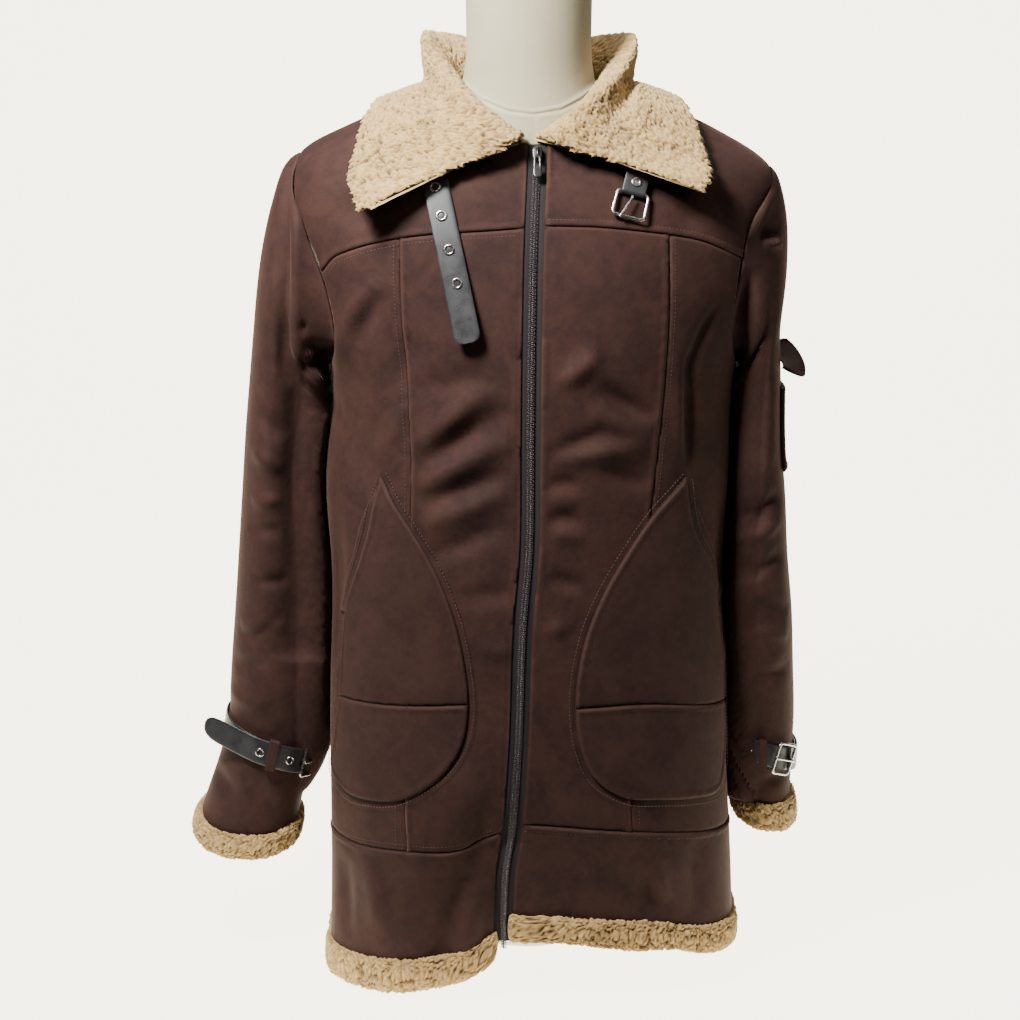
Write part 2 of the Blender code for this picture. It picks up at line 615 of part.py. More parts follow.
def build_sleeve(side):
    word = SIDE_NAMES[side]
    end = CUFF_TRIM_RING[side]
    rings = np.concatenate([[0, 0.4], np.linspace(1, end - TRIM_GAP, SLEEVE_RINGS)])
    turns, at = np.meshgrid(SLEEVE_ANGLES, rings)
    outer = sleeve(side, turns, at)
    normals = sleeve_normal(side, turns, at)
    start = outer[1] - outer[0]
    outer[0] += 3 * SEAM_GAP * start / np.linalg.norm(start, axis=1, keepdims=True)
    normals[0] = armhole_normal(side)
    inner = outer - normals * WALL
    faces = tube_faces(len(rings), SLEEVE_SIDES, side == LEFT)
    slab(f"sleeve_{word}", outer.reshape(-1, 3), inner.reshape(-1, 3), faces, SUEDE)

    share, lift, sink = np.array(CUFF_TRIM_ROWS).T
    rings = end + TRIM_GAP + share * (SLEEVE_ROWS[side][-1][0] - end - TRIM_GAP)
    turns, at = np.meshgrid(SLEEVE_ANGLES, rings)
    surface, normals = sleeve(side, turns, at), sleeve_normal(side, turns, at)
    outer, inner = (surface + normals * offset[:, None, None] for offset in (lift, sink))
    faces = tube_faces(len(rings), SLEEVE_SIDES, side == LEFT)
    slab(f"cuff_trim_{word}", outer.reshape(-1, 3), inner.reshape(-1, 3), faces, FLEECE)


# ---------------------------------------------------------------- the collar

# One row for each section across the collar, from the right front, round the back, to the left front. The
# roll is where it folds over, and the edge lies at x and z of the front or back view, lifted off the body.
COLLAR_COLUMNS = ("angle", "roll_x", "roll_y", "roll_z", "edge_x", "edge_y", "edge_z", "bulge")
COLLAR_ROWS = (
    (266, -12, -128, 820, -153, -160, 748, 6),
    (246, -34, -122, 832, -166, -132, 770, 10),
    (222, -56, -104, 852, -163, -104, 790, 21),
    (198, -78, -72, 876, -150, -64, 824, 29),
    (170, -98, -36, 902, -138, -20, 846, 31),
    (140, -94, 10, 908, -122, 44, 846, 22),
    (112, -40, 34, 900, -60, 84, 834, 16),
    (90, 0, 40, 898, 0, 94, 826, 16),
    (68, 40, 34, 900, 60, 84, 834, 16),
    (40, 94, 10, 906, 120, 44, 848, 22),
    (10, 98, -36, 898, 138, -20, 848, 31),
    (-18, 80, -72, 874, 150, -64, 828, 28),
    (-42, 60, -104, 850, 164, -104, 798, 20),
    (-66, 40, -122, 832, 166, -134, 782, 10),
    (-86, 22, -128, 820, 158, -158, 766, 6),
)
COLLAR_THICK = 8.0
COLLAR_LIFT = 5.0  # the straps' ends lie under it
COLLAR_STRAIGHT = 12.0  # how far the stand goes straight up before it leans out
COLLAR_SECTIONS = 27
COLLAR_STAND, COLLAR_FALL = 3, 6  # facets up the stand and down the fall
COLLAR_EDGE, COLLAR_FILL = 0.38, 3.0  # its thickness at the neck seam as a share, and how soon it is full


def collar_sheets():
    """The collar's suede side, as a grid of sections by points from neck to edge, and the normals to its fleece."""
    sections = np.linspace(COLLAR_ROWS[0][0], COLLAR_ROWS[-1][0], COLLAR_SECTIONS)
    order = COLLAR_ROWS[::-1]
    roll, edge = (
        np.stack([column(order, COLLAR_COLUMNS, f"{part}_{axis}", sections) for axis in "xyz"], -1)
        for part in ("roll", "edge")
    )
    bulge = column(order, COLLAR_COLUMNS, "bulge", sections)
    level = np.full(sections.shape, float(TOP))
    neck = torso(sections % 360, level)
    up = neck - torso(sections % 360, level - 6)
    up /= np.linalg.norm(up, axis=1, keepdims=True)
    neck += up * SEAM_GAP * 2
    away = edge - roll
    away /= np.linalg.norm(away, axis=1, keepdims=True)
    side = np.cross(np.gradient(roll, axis=0), away)
    out = -side / np.linalg.norm(side, axis=1, keepdims=True)
    points = []
    for t in np.linspace(0, 1, COLLAR_STAND + 1):
        points.append(neck * (1 - t) ** 2 + 2 * t * (1 - t) * (neck + [0, 0, COLLAR_STRAIGHT]) + roll * t * t)
    for t in np.linspace(0, 1, COLLAR_FALL + 1)[1:]:
        ease = np.sin(np.pi * t) * bulge
        points.append(roll * (1 - t) + edge * t + out * ease[:, None])
    grid = np.stack(points, 1)
    across, along = np.gradient(grid, axis=0), np.gradient(grid, axis=1)
    normal = np.cross(across, along)
    normal /= np.linalg.norm(normal, axis=-1, keepdims=True)
    return grid, normal


def grid_faces(rows, columns):
    return [
        (r * columns + c, r * columns + c + 1, (r + 1) * columns + c + 1, (r + 1) * columns + c)
        for r in range(rows - 1)
        for c in range(columns - 1)
    ]


def lifted(points, least):
    """Points moved out along the body's normal, where needed, to lie at least this far above the body."""
    angle, level = np.meshgrid(np.arange(0, 360, 3.0), np.arange(600, TOP, 6.0))
    surface = torso(angle, level).reshape(-1, 3)
    normal = torso_normal(angle, level).reshape(-1, 3)
    moved = points.copy()
    for index in np.ndindex(points.shape[:-1]):
        near = np.argmin(((surface - points[index]) ** 2).sum(1))
        height = (points[index] - surface[near]) @ normal[near]
        moved[index] += normal[near] * max(0.0, least - height)
    return moved


def build_collar():
    grid, normal = collar_sheets()
    rows, columns = grid.shape[:2]
    thick = COLLAR_THICK * np.clip(COLLAR_EDGE + COLLAR_FILL * np.linspace(0, 1, columns), 0, 1)
    fall = slice(COLLAR_STAND + 2, None)
    fleece = grid + normal * thick[None, :, None]
    fleece[:, fall] = lifted(fleece[:, fall], COLLAR_LIFT + COLLAR_THICK)
    grid[:, fall] = lifted(grid[:, fall], COLLAR_LIFT)
    faces = grid_faces(rows, columns)
    slab("collar", grid.reshape(-1, 3), fleece.reshape(-1, 3), faces, FLEECE)


# ---------------------------------------------------------------- the dress form

BASE_RADIUS, BASE_HEIGHT, BASE_EDGE, BASE_SIDES = 70.0, 8.0, 2.0, 48
POLE_RADIUS, POLE_SIDES = 14.0, 20
JOINT_GAP = 0.3  # between the base, the pole, the form and its cap
CAP_RADIUS, CAP_THICK = 58.0, 5.0
FORM_SIDES = 28
FORM_LEVELS = (190, 260, 340, 420, 500, 570, 630, 690, 735, 775, 805, 835, 860, 885, 910, 935, 955, 966)
# How far the form lies inside the jacket's outer surface at each level.
FORM_INSET = ((190, 24), (400, 22), (600, 16), (700, 9), (765, 7.5), (825, 6), (880, 6), (930, 7), (966, 8))
# Rings of the form's neck, above the jacket's neckline.
NECK_COLUMNS = ("front_z", "side_z", "back_z", "half", "front", "back")
NECK_ROWS = (
    (836, 866, 876, 65, -104.5, 10),
    (846, 878, 888, 61, -103, 8),
    (880, 902, 908, 59, -102, 4),
    (956, 956, 956, 59.5, -103, 3),
)
NECK_TOP = NECK_ROWS[-1][0]


def ring_of(row, turn):
    across, along = np.cos(np.radians(turn)), np.sin(np.radians(turn))
    middle, reach = (row["front"] + row["back"]) / 2, (row["back"] - row["front"]) / 2
    end_z = np.where(along < 0, row["front_z"], row["back_z"])
    return np.stack(
        [row["half"] * across, middle + reach * along, row["side_z"] + (end_z - row["side_z"]) * along**2], -1
    )


def lathe_like(name, rings, finish):
    """A closed solid through rings of the same number of points, from bottom to top, with flat ends."""
    sides, count = rings.shape[1], rings.shape[0]
    faces = [
        (r * sides + i, r * sides + (i + 1) % sides, (r + 1) * sides + (i + 1) % sides, (r + 1) * sides + i)
        for r in range(count - 1)
        for i in range(sides)
    ]
    faces.append(tuple(reversed(range(sides))))
    faces.append(tuple(range((count - 1) * sides, count * sides)))
    return add_object(name, rings.reshape(-1, 3), faces, finish)


def circle(radius, sides, z, centre=(0.0, 0.0)):
    turn = np.radians(np.arange(sides) * 360 / sides)
    return np.stack(
        [centre[0] + radius * np.cos(turn), centre[1] + radius * np.sin(turn), np.full(sides, z)], -1
    )


def build_form():
    turn = np.arange(FORM_SIDES) * 360 / FORM_SIDES
    turns, levels = np.meshgrid(turn, np.array(FORM_LEVELS, float))
    inset = smooth(*zip(*FORM_INSET), FORM_LEVELS)
    surface = torso_base(turns, levels)
    normal = normals_of(torso_base, turns, np.clip(levels, BOTTOM + 2, TOP - 2))
    rings = surface - normal * inset[:, None, None]
    rings[0, :, 2] = rings[0, :, 2].min()
    neck = np.stack([ring_of(dict(zip(NECK_COLUMNS, row)), turn) for row in NECK_ROWS])
    lathe_like("form_torso", np.concatenate([rings, neck]), CANVAS)
    top = neck[-1]
    cap = [circle(CAP_RADIUS, FORM_SIDES, z, top.mean(0)) for z in (NECK_TOP + JOINT_GAP, NECK_TOP + CAP_THICK)]
    lathe_like("form_neck_cap", np.stack(cap), STEEL)
    floor = rings[0, 0, 2]
    pole = [circle(POLE_RADIUS, POLE_SIDES, z) for z in (BASE_HEIGHT + JOINT_GAP, floor - JOINT_GAP)]
    lathe_like("form_pole", np.stack(pole), STEEL)
    base = [circle(radius, BASE_SIDES, z) for radius, z in (
        (BASE_RADIUS, 0), (BASE_RADIUS, BASE_HEIGHT - BASE_EDGE), (BASE_RADIUS - BASE_EDGE, BASE_HEIGHT))]
    lathe_like("form_base", np.stack(base), STEEL)


# ---------------------------------------------------------------- zip, straps and buckles

COIL_HALF, COIL_LOW, COIL_HIGH = 3.0, -0.9, 0.9  # the closed coil chain, measured from the body's surface
SLIDER_X, SLIDER_TOP, SLIDER_BOTTOM = 7.5, 809.0, 796.0
SLIDER_LOW, SLIDER_SHOULDER, SLIDER_CROWN = 1.3, 4.6, 5.6
# The slider seen from the front: a shield, wide above and narrow below.
SHIELD = ((-3.0, 0), (3.0, 0), (4.6, 5), (4.6, 11), (2.6, 13.5), (-2.6, 13.5), (-4.6, 11), (-4.6, 5))
PULL_HINGE = 3.0  # how far up the slider the pull tab swings
PULL_THICK, PULL_CLEAR = 1.4, 0.3
PULL = ((-3.2, 0.1), (-2.0, 0.6), (2.0, 0.6), (3.2, 0.1), (3.8, -19), (2.6, -22), (-2.6, -22), (-3.8, -19))
COIL_ENDS, COIL_STEPS = (50, 807), 34


def on_front(x, z):
    """The body's point and normal at x and z of the front view."""
    angle, level = place_on_torso(x, z)
    return torso(angle, level), torso_normal(angle, level)


def one_on_front(x, z):
    """The same for one point."""
    point, normal = on_front(np.array([x]), np.array([z]))
    return point[0], normal[0]


def ribbon(name, points, normals, low, high, finish, wrap=False):
    """A wall over a grid of points, along then across, between two heights above them."""
    rows, columns = points.shape[:2]
    faces = grid_faces(rows, columns)
    if wrap:
        last = (rows - 1) * columns
        faces += [(last + c, last + c + 1, c + 1, c) for c in range(columns - 1)]
    across = points[0, 1] - points[0, 0]
    if np.cross(points[1, 0] - points[0, 0], across) @ normals[0, 0] > 0:
        faces = [face[::-1] for face in faces]
    outer, inner = points + normals * high, points + normals * low
    return slab(name, outer.reshape(-1, 3), inner.reshape(-1, 3), faces, finish)


def straight_strip(start, end, half_width, rows, tip=False):
    """A flat grid of (x, z) from start to end. A tip rounds off its end."""
    start, end = np.array(start, float), np.array(end, float)
    length = np.linalg.norm(end - start)
    along = (end - start) / length
    side = np.array([-along[1], along[0]])
    distance = np.linspace(0, length, rows)
    if tip:
        round_part = length - half_width * (1 - np.cos(np.radians((15, 35, 55, 75, 86))))[::-1]
        distance = np.concatenate([np.linspace(0, length - half_width, rows), np.sort(round_part)[1:]])
    half = np.full(distance.shape, half_width)
    if tip:
        inside_tip = np.clip((distance - (length - half_width)) / half_width, 0, 0.998)
        half = half_width * np.sqrt(1 - inside_tip**2)
    across = np.linspace(-1, 1, 5)
    return (start + distance[:, None, None] * along) + (half[:, None] * across)[..., None] * side


def washer(name, centre, normal, outer_radius, inner_radius, low, high, finish, sides=16):
    """A flat ring standing from low to high along the normal."""
    first = np.cross(normal, [0, 0, 1.0])
    first /= np.linalg.norm(first)
    second = np.cross(normal, first)
    turn = np.radians(np.arange(sides) * 360 / sides)
    spokes = np.cos(turn)[:, None] * first + np.sin(turn)[:, None] * second
    flat = np.stack([centre + spokes * inner_radius, centre + spokes * outer_radius], 1)
    normals = np.broadcast_to(normal, flat.shape)
    return ribbon(name, flat, normals, low, high, finish, wrap=True)


def wire_loop(name, centres, radius, finish, sides=8, closed=True):
    """A round wire along a path of points."""
    centres = np.asarray(centres, float)
    ahead = np.roll(centres, -1, 0) - np.roll(centres, 1, 0)
    if not closed:
        ahead[0], ahead[-1] = centres[1] - centres[0], centres[-1] - centres[-2]
    ahead /= np.linalg.norm(ahead, axis=1, keepdims=True)
    plane = np.cross(centres[1] - centres[0], centres[-1] - centres[0])
    if np.linalg.norm(plane) < 1e-6:
        plane = np.cross(ahead[0], [0, 0.3, 1.0])
    plane /= np.linalg.norm(plane)
    side = np.cross(ahead, plane)
    side /= np.linalg.norm(side, axis=1, keepdims=True)
    turn = np.radians(np.arange(sides) * 360 / sides)[None, :, None]
    rings = centres[:, None] + radius * (np.cos(turn) * side[:, None] + np.sin(turn) * plane)
    count = len(centres)
    faces = [
        (r * sides + i, r * sides + (i + 1) % sides,
         (r + 1) % count * sides + (i + 1) % sides, (r + 1) % count * sides + i)
        for r in range(count if closed else count - 1)
        for i in range(sides)
    ]
    if not closed:
        faces.append(tuple(reversed(range(sides))))
        faces.append(tuple(range((count - 1) * sides, count * sides)))
    made = add_object(name, rings.reshape(-1, 3), [face[::-1] for face in faces], finish)
    return made


def rounded_frame(corners, corner_radius=3.0, steps=4):
    """Points round a four-cornered frame with rounded corners."""
    corners = np.asarray(corners, float)
    path = []
    for i in range(4):
        here, before, after = corners[i], corners[i - 1], corners[(i + 1) % 4]
        back = (before - here) / np.linalg.norm(before - here)
        on = (after - here) / np.linalg.norm(after - here)
        for t in np.linspace(0, 1, steps):
            path.append(here + corner_radius * (back * (1 - t) ** 2 + on * t * t))
    return path


def build_zip():
    heights = np.linspace(*COIL_ENDS, COIL_STEPS)
    line = np.array(ZIP_LINE, float)[::-1]
    middle = smooth(line[:, 1], line[:, 0], heights)
    x = middle[:, None] + np.array([-COIL_HALF, 0, COIL_HALF])
    points, normals = on_front(x, np.broadcast_to(heights[:, None], x.shape))
    ribbon("zip_coil", points, normals, COIL_LOW, COIL_HIGH, COIL)

    foot, normal = one_on_front(SLIDER_X, SLIDER_BOTTOM)
    up = one_on_front(SLIDER_X, SLIDER_TOP)[0] - foot
    up /= np.linalg.norm(up)
    across = np.cross(normal, up)
    ring = np.array([foot + across * u + up * v for u, v in SHIELD])
    heights = (SLIDER_LOW, SLIDER_SHOULDER, SLIDER_CROWN)
    lathe_like("zip_slider", np.stack([ring + normal * h for h in heights])[:, ::-1], METAL)
    hinge = foot + normal * (SLIDER_CROWN + PULL_CLEAR + PULL_THICK / 2) + up * PULL_HINGE
    ring = np.array([hinge + across * u + up * v for u, v in PULL])
    lathe_like("zip_pull", np.stack([ring + normal * h for h in (-PULL_THICK / 2, PULL_THICK / 2)]), METAL)


STRAP_HALF, STRAP_LOW, STRAP_HIGH = 12.0, 0.8, 3.2
NECK_STRAP = ((-89, 790), (-54.5, 634))
EYELETS = ((-86, 772), (-80, 747), (-73, 717), (-65.5, 687))
EYELET_RADIUS, EYELET_HOLE = 5.2, 2.5
EYELET_HEIGHTS = (STRAP_HIGH + 0.5, STRAP_HIGH + 1.5)


def build_neck_straps():
    flat = straight_strip(*NECK_STRAP, STRAP_HALF, 7, tip=True)
    points, normals = on_front(flat[..., 0], flat[..., 1])
    ribbon("neck_strap", points, normals, STRAP_LOW, STRAP_HIGH, LEATHER)
    for number, (x, z) in enumerate(EYELETS, 1):
        point, normal = one_on_front(x, z)
        washer(f"neck_eyelet_{number}", point, normal, EYELET_RADIUS, EYELET_HOLE, *EYELET_HEIGHTS, METAL)


# The open buckle on the left: a short folded strap whose end goes round the frame's top bar.
BUCKLE_BAR = (95, 767)
BUCKLE_TURN = -15.0  # degrees that the frame hangs askew
BUCKLE_WIDE, BUCKLE_TALL, BUCKLE_WIRE = 29.0, 24.0, 1.5
BUCKLE_STRAP_HALF, BUCKLE_LEATHER, BUCKLE_LOOSE = 11.0, 1.6, 0.5
BUCKLE_BAR_HIGH = STRAP_LOW + BUCKLE_LEATHER + BUCKLE_WIRE + 0.1
BUCKLE_STRAP_REACH = (26, 15, 8)  # rows of the folded strap, above the bar
RIVET_DOWN, RIVET_RADIUS, RIVET_HOLE, RIVET_HEIGHTS = -9.0, 4.6, 1.8, (0.4, 1.4)
PRONG_WIRE, PRONG_LEAN, PRONG_PAST, PRONG_HIGH = 1.2, 7.0, 2.2, 3.0


def build_neck_buckle():
    bar_point, normal = one_on_front(*BUCKLE_BAR)
    bar = bar_point + normal * BUCKLE_BAR_HIGH
    turn = np.radians(BUCKLE_TURN)
    across = np.array([np.cos(turn), 0, np.sin(turn)])
    across -= normal * (across @ normal)
    across /= np.linalg.norm(across)
    down = np.cross(across, normal)
    down *= -np.sign(down[2])
    half = BUCKLE_WIDE / 2
    corners = [bar - across * half, bar + across * half, bar + across * (half + 0.5) + down * BUCKLE_TALL,
               bar - across * (half + 0.5) + down * BUCKLE_TALL]
    wire_loop("neck_buckle_frame", rounded_frame(corners), BUCKLE_WIRE, METAL)
    # The strap's section, from behind the bar, round it and up its front again.
    radius = BUCKLE_WIRE + BUCKLE_LOOSE
    section = [(-reach, -radius) for reach in BUCKLE_STRAP_REACH] + [(0, -radius)]
    section += [(radius * np.sin(a), -radius * np.cos(a)) for a in np.radians((45, 90, 135))]
    section += [(0, radius)] + [(-reach, radius) for reach in BUCKLE_STRAP_REACH[::-1]]
    section = np.array(section)
    ahead = np.gradient(section, axis=0)
    ahead /= np.linalg.norm(ahead, axis=1, keepdims=True)
    outwards = np.stack([ahead[:, 1], -ahead[:, 0]], 1)
    sides = np.linspace(-BUCKLE_STRAP_HALF, BUCKLE_STRAP_HALF, 4)
    points = bar + (section[:, :1] * down + section[:, 1:] * normal)[:, None] + sides[None, :, None] * across
    face_out = (outwards[:, :1] * down + outwards[:, 1:] * normal)[:, None] + np.zeros((1, 4, 1))
    ribbon("buckle_strap", points, face_out, 0.0, BUCKLE_LEATHER, LEATHER)
    rivet = bar + down * RIVET_DOWN + normal * (radius + BUCKLE_LEATHER)
    washer("buckle_rivet", rivet, normal, RIVET_RADIUS, RIVET_HOLE, *RIVET_HEIGHTS, METAL)
    start = bar + down * (radius + BUCKLE_LEATHER + PRONG_WIRE + 0.4) + normal * PRONG_HIGH
    tip = bar + down * (BUCKLE_TALL + PRONG_PAST) - across * PRONG_LEAN + normal * PRONG_HIGH
    path = [start + (tip - start) * t for t in (0, 0.35, 0.7, 1.0)]
    wire_loop("neck_buckle_prong", path, PRONG_WIRE, METAL, closed=False)


# ---------------------------------------------------------------- cuff straps

BELT_HALF = 12.5
BELT_LOW, BELT_HIGH = 1.4, 3.2
TAIL_LOW, TAIL_HIGH = 3.6, 5.4
KEEPER_LOW = 0.7
TAIL_START, TAIL_STEPS = 14, 12  # the tail starts this many degrees past the buckle's middle
TAIL_TIP = ((0.55, 1.0), (0.8, 0.94), (0.95, 0.6), (1.0, 0.25))  # along its free end, and how wide it still is
CUFF_EYELET_RADIUS, CUFF_EYELET_HOLE, CUFF_EYELET_HEIGHTS = 4.6, 2.3, (0.4, 1.5)
CUFF_BUCKLE_HALF, CUFF_BUCKLE_TALL, CUFF_BUCKLE_WIRE = 11.0, 15.5, 1.5
CUFF_BUCKLE_HIGH = TAIL_HIGH + 0.3
CUFF_PRONG_WIRE, CUFF_PRONG_HIGH = 1.1, 3.1
# The keeper's section: across the belt and up from the sleeve, over the tail and back under its own top.
KEEPER_SECTION = ((-15.2, KEEPER_LOW), (-15.2, 8.1), (15.2, 8.1), (15.2, KEEPER_LOW),
                  (14.0, KEEPER_LOW), (14.0, 6.1), (-14.0, 6.1), (-14.0, KEEPER_LOW))
# Height of each belt's middle at its outer and inner point, and where round the sleeve its pieces lie: the
# tail runs from the buckle to the turn where it leaves the sleeve, and stands free for the rest.
BELT_COLUMNS = ("outer_z", "inner_z", "buckle", "keeper", "leave", "free", "eyelets", "eyelet_low")
BELTS = {
    RIGHT: (236, 199, 148, 98, 72, 50, (86, 118), TAIL_HIGH),
    LEFT: (198, 222, 66, 96, 330, 8, (118,), BELT_HIGH),
}


def ring_at_height(side, turn, z, low=6.0, high=14.0):
    """The ring, between low and high, at which the sleeve reaches a height."""
    low, high = np.full(np.shape(z), low), np.full(np.shape(z), high)
    for _ in range(30):
        ring = (low + high) / 2
        below = sleeve(side, turn, ring)[..., 2] < z
        high = np.where(below, ring, high)
        low = np.where(below, low, ring)
    return ring


def on_belt(side, turn, across):
    """The sleeve's point and normal at a turn, this far above the belt's middle line."""
    belt = dict(zip(BELT_COLUMNS, BELTS[side]))
    turn, across = np.broadcast_arrays(np.asarray(turn, float), np.asarray(across, float))
    share = (1 + np.cos(np.radians(turn))) / 2
    z = belt["inner_z"] + (belt["outer_z"] - belt["inner_z"]) * share + across
    ring = ring_at_height(side, turn, z)
    return sleeve(side, turn, ring), sleeve_normal(side, turn, ring)


def build_cuff_strap(side):
    word, belt = SIDE_NAMES[side], dict(zip(BELT_COLUMNS, BELTS[side]))
    across = np.linspace(-BELT_HALF, BELT_HALF, 3)
    turns = np.arange(0, 360, 12.0)
    points, normals = on_belt(side, turns[:, None], across[None])
    ribbon(f"cuff_belt_{word}", points, normals, BELT_LOW, BELT_HIGH, LEATHER, wrap=True)

    stop = belt["leave"] - (360 if belt["leave"] > 180 else 0)
    tail_turns = np.linspace(belt["buckle"] - TAIL_START, stop, TAIL_STEPS)
    points, normals = on_belt(side, tail_turns[:, None], across[None])
    ahead = (points[-1] - points[-2]).mean(0)
    ahead /= np.linalg.norm(ahead)
    middle, half = points[-1].mean(0), points[-1] - points[-1].mean(0)
    for share, wide in TAIL_TIP:
        row = middle + ahead * share * belt["free"] + half * wide
        points, normals = np.concatenate([points, row[None]]), np.concatenate([normals, normals[-1:]])
    ribbon(f"cuff_tail_{word}", points, normals, TAIL_LOW, TAIL_HIGH, LEATHER)

    build_keeper(f"cuff_keeper_{word}", side, belt["keeper"] + np.linspace(-5, 5, 3))
    for number, turn in enumerate(belt["eyelets"], 1):
        point, normal = on_belt(side, turn, 0)
        low, high = (belt["eyelet_low"] + height for height in CUFF_EYELET_HEIGHTS)
        washer(f"cuff_eyelet_{word}_{number}", point, normal, CUFF_EYELET_RADIUS, CUFF_EYELET_HOLE, low, high, METAL)
    point, normal = on_belt(side, belt["buckle"], 0)
    ahead = on_belt(side, belt["buckle"] - 4, 0)[0] - on_belt(side, belt["buckle"] + 4, 0)[0]
    ahead /= np.linalg.norm(ahead)
    up = np.cross(ahead, normal)
    up *= np.sign(up[2]) / np.linalg.norm(up)
    centre = point + normal * CUFF_BUCKLE_HIGH
    corners = [centre + ahead * u * CUFF_BUCKLE_HALF + up * v * CUFF_BUCKLE_TALL
               for u, v in ((-1, -1), (1, -1), (1, 1), (-1, 1))]
    wire_loop(f"cuff_buckle_{word}", rounded_frame(corners), CUFF_BUCKLE_WIRE, METAL)
    path = [centre + normal * CUFF_PRONG_HIGH + ahead * u for u in (-12, -4, 4, 12.5)]
    wire_loop(f"cuff_prong_{word}", path, CUFF_PRONG_WIRE, METAL, closed=False)


def build_keeper(name, side, turns):
    """A leather loop over the tail, whose ends reach down beside the belt."""
    section = np.array(KEEPER_SECTION)
    rings = []
    for turn in turns:
        points, normals = on_belt(side, turn, section[:, 0])
        rings.append(points + normals * section[:, 1:])
    rings = np.stack(rings)
    lathe_like(name, rings if side == LEFT else rings[::-1], LEATHER)


# ---------------------------------------------------------------- the arm pocket

ARM_POCKET_TURNS, ARM_POCKET_HEIGHTS = (-52, 40), (495, 577)
ARM_POCKET_OUT, ARM_POCKET_THICK = 1.0, 2.6
ARM_RINGS = (3.0, 8.5)  # the rings between which the pocket lies
# Rows of the flap from its root: how far it stands out of the sleeve and up, how much further its back corner
# rises and its front corner drops, and how wide it still is.
FLAP_COLUMNS = ("reach", "rise", "twist", "wide")
FLAP_ROWS = ((2.0, 0, 0, 1.0), (8, 0.5, 4, 1.0), (15, 1, 8, 0.95), (21, 1.5, 11, 0.88), (25, 1.5, 12, 0.74))
FLAP_HEIGHT, FLAP_THICK = 597.0, 2.2
SNAP_RADIUS, SNAP_HOLE, SNAP_HEIGHTS = 4.5, 1.2, (0.8, 2.0)


def on_arm(turn, z):
    """The left sleeve's point and normal at a turn and height."""
    ring = ring_at_height(LEFT, turn, z, *ARM_RINGS)
    return sleeve(LEFT, turn, ring), sleeve_normal(LEFT, turn, ring)


def build_arm_pocket():
    """A patch on the left sleeve's outer side, and its flap, which stands out from the sleeve."""
    turns = np.linspace(*ARM_POCKET_TURNS, 7)
    points, normals = on_arm(*np.meshgrid(turns, np.linspace(*ARM_POCKET_HEIGHTS, 5), indexing="ij"))
    ribbon("arm_pocket", points, normals, ARM_POCKET_OUT, ARM_POCKET_OUT + ARM_POCKET_THICK, POCKET_SUEDE)
    root, out = on_arm(turns, np.full(7, FLAP_HEIGHT))
    middle = root.mean(0)
    forward = np.linspace(-1, 1, 7)[:, None]
    sheet = []
    for row in FLAP_ROWS:
        flap = dict(zip(FLAP_COLUMNS, row))
        lift = flap["rise"] - flap["twist"] * forward
        sheet.append(middle + (root - middle) * flap["wide"] + out * flap["reach"] + lift * np.array([0, 0, 1.0]))
    sheet = np.stack(sheet, 1)
    normal = np.cross(np.gradient(sheet, axis=0), np.gradient(sheet, axis=1))
    normal /= np.linalg.norm(normal, axis=-1, keepdims=True)
    normal *= np.sign(normal[3, 2, 2])
    ribbon("arm_pocket_flap", sheet, normal, 0.0, FLAP_THICK, SUEDE)
    washer("arm_pocket_snap", sheet[4, 2], -normal[4, 2], SNAP_RADIUS, SNAP_HOLE, *SNAP_HEIGHTS, METAL, sides=12)


def main():
    for old in list(bpy.data.objects):
        bpy.data.objects.remove(old, do_unlink=True)
    build_form()
    build_front()
    build_back()
    for side in (RIGHT, LEFT):
        build_sleeve(side)
        build_cuff_strap(side)
    build_collar()
    build_zip()
    build_neck_straps()
    build_neck_buckle()
    build_arm_pocket()


main()
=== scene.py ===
# %% [markdown]
# # A shearling aviator jacket on a dress form
#
# The real jacket is cut from one bonded cloth: brown brushed suede outside, curly fleece inside. The collar
# is turned so that the fleece shows, and the fleece also shows as a thick edge along the hem and the cuffs.
# A coil zip, black leather straps and nickel buckles close it. It stands filled out on a canvas dress form.
#
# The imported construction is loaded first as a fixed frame. Everything below is laid on it: each soft solid
# is replaced by a finer piece with the same form, and no solid of the frame is moved.

import bpy
import numpy as np
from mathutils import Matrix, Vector
from mathutils.geometry import delaunay_2d_cdt
from mathutils.kdtree import KDTree


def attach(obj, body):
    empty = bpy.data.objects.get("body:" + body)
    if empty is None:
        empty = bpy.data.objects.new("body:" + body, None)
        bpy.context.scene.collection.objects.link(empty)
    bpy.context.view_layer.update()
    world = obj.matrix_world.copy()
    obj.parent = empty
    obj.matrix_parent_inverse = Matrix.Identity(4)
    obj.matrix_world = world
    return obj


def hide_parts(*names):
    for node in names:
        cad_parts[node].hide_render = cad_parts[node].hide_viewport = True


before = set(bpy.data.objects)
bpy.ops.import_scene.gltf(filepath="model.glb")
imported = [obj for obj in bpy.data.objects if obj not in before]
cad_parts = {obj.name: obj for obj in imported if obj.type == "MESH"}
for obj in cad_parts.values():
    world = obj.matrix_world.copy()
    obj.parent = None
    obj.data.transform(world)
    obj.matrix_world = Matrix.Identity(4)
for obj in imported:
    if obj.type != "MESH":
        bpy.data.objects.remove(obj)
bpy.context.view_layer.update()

MM = 0.001
RIGHT, LEFT = -1, 1  # the wearer's right is at -X
SIDE_NAMES = {RIGHT: "right", LEFT: "left"}

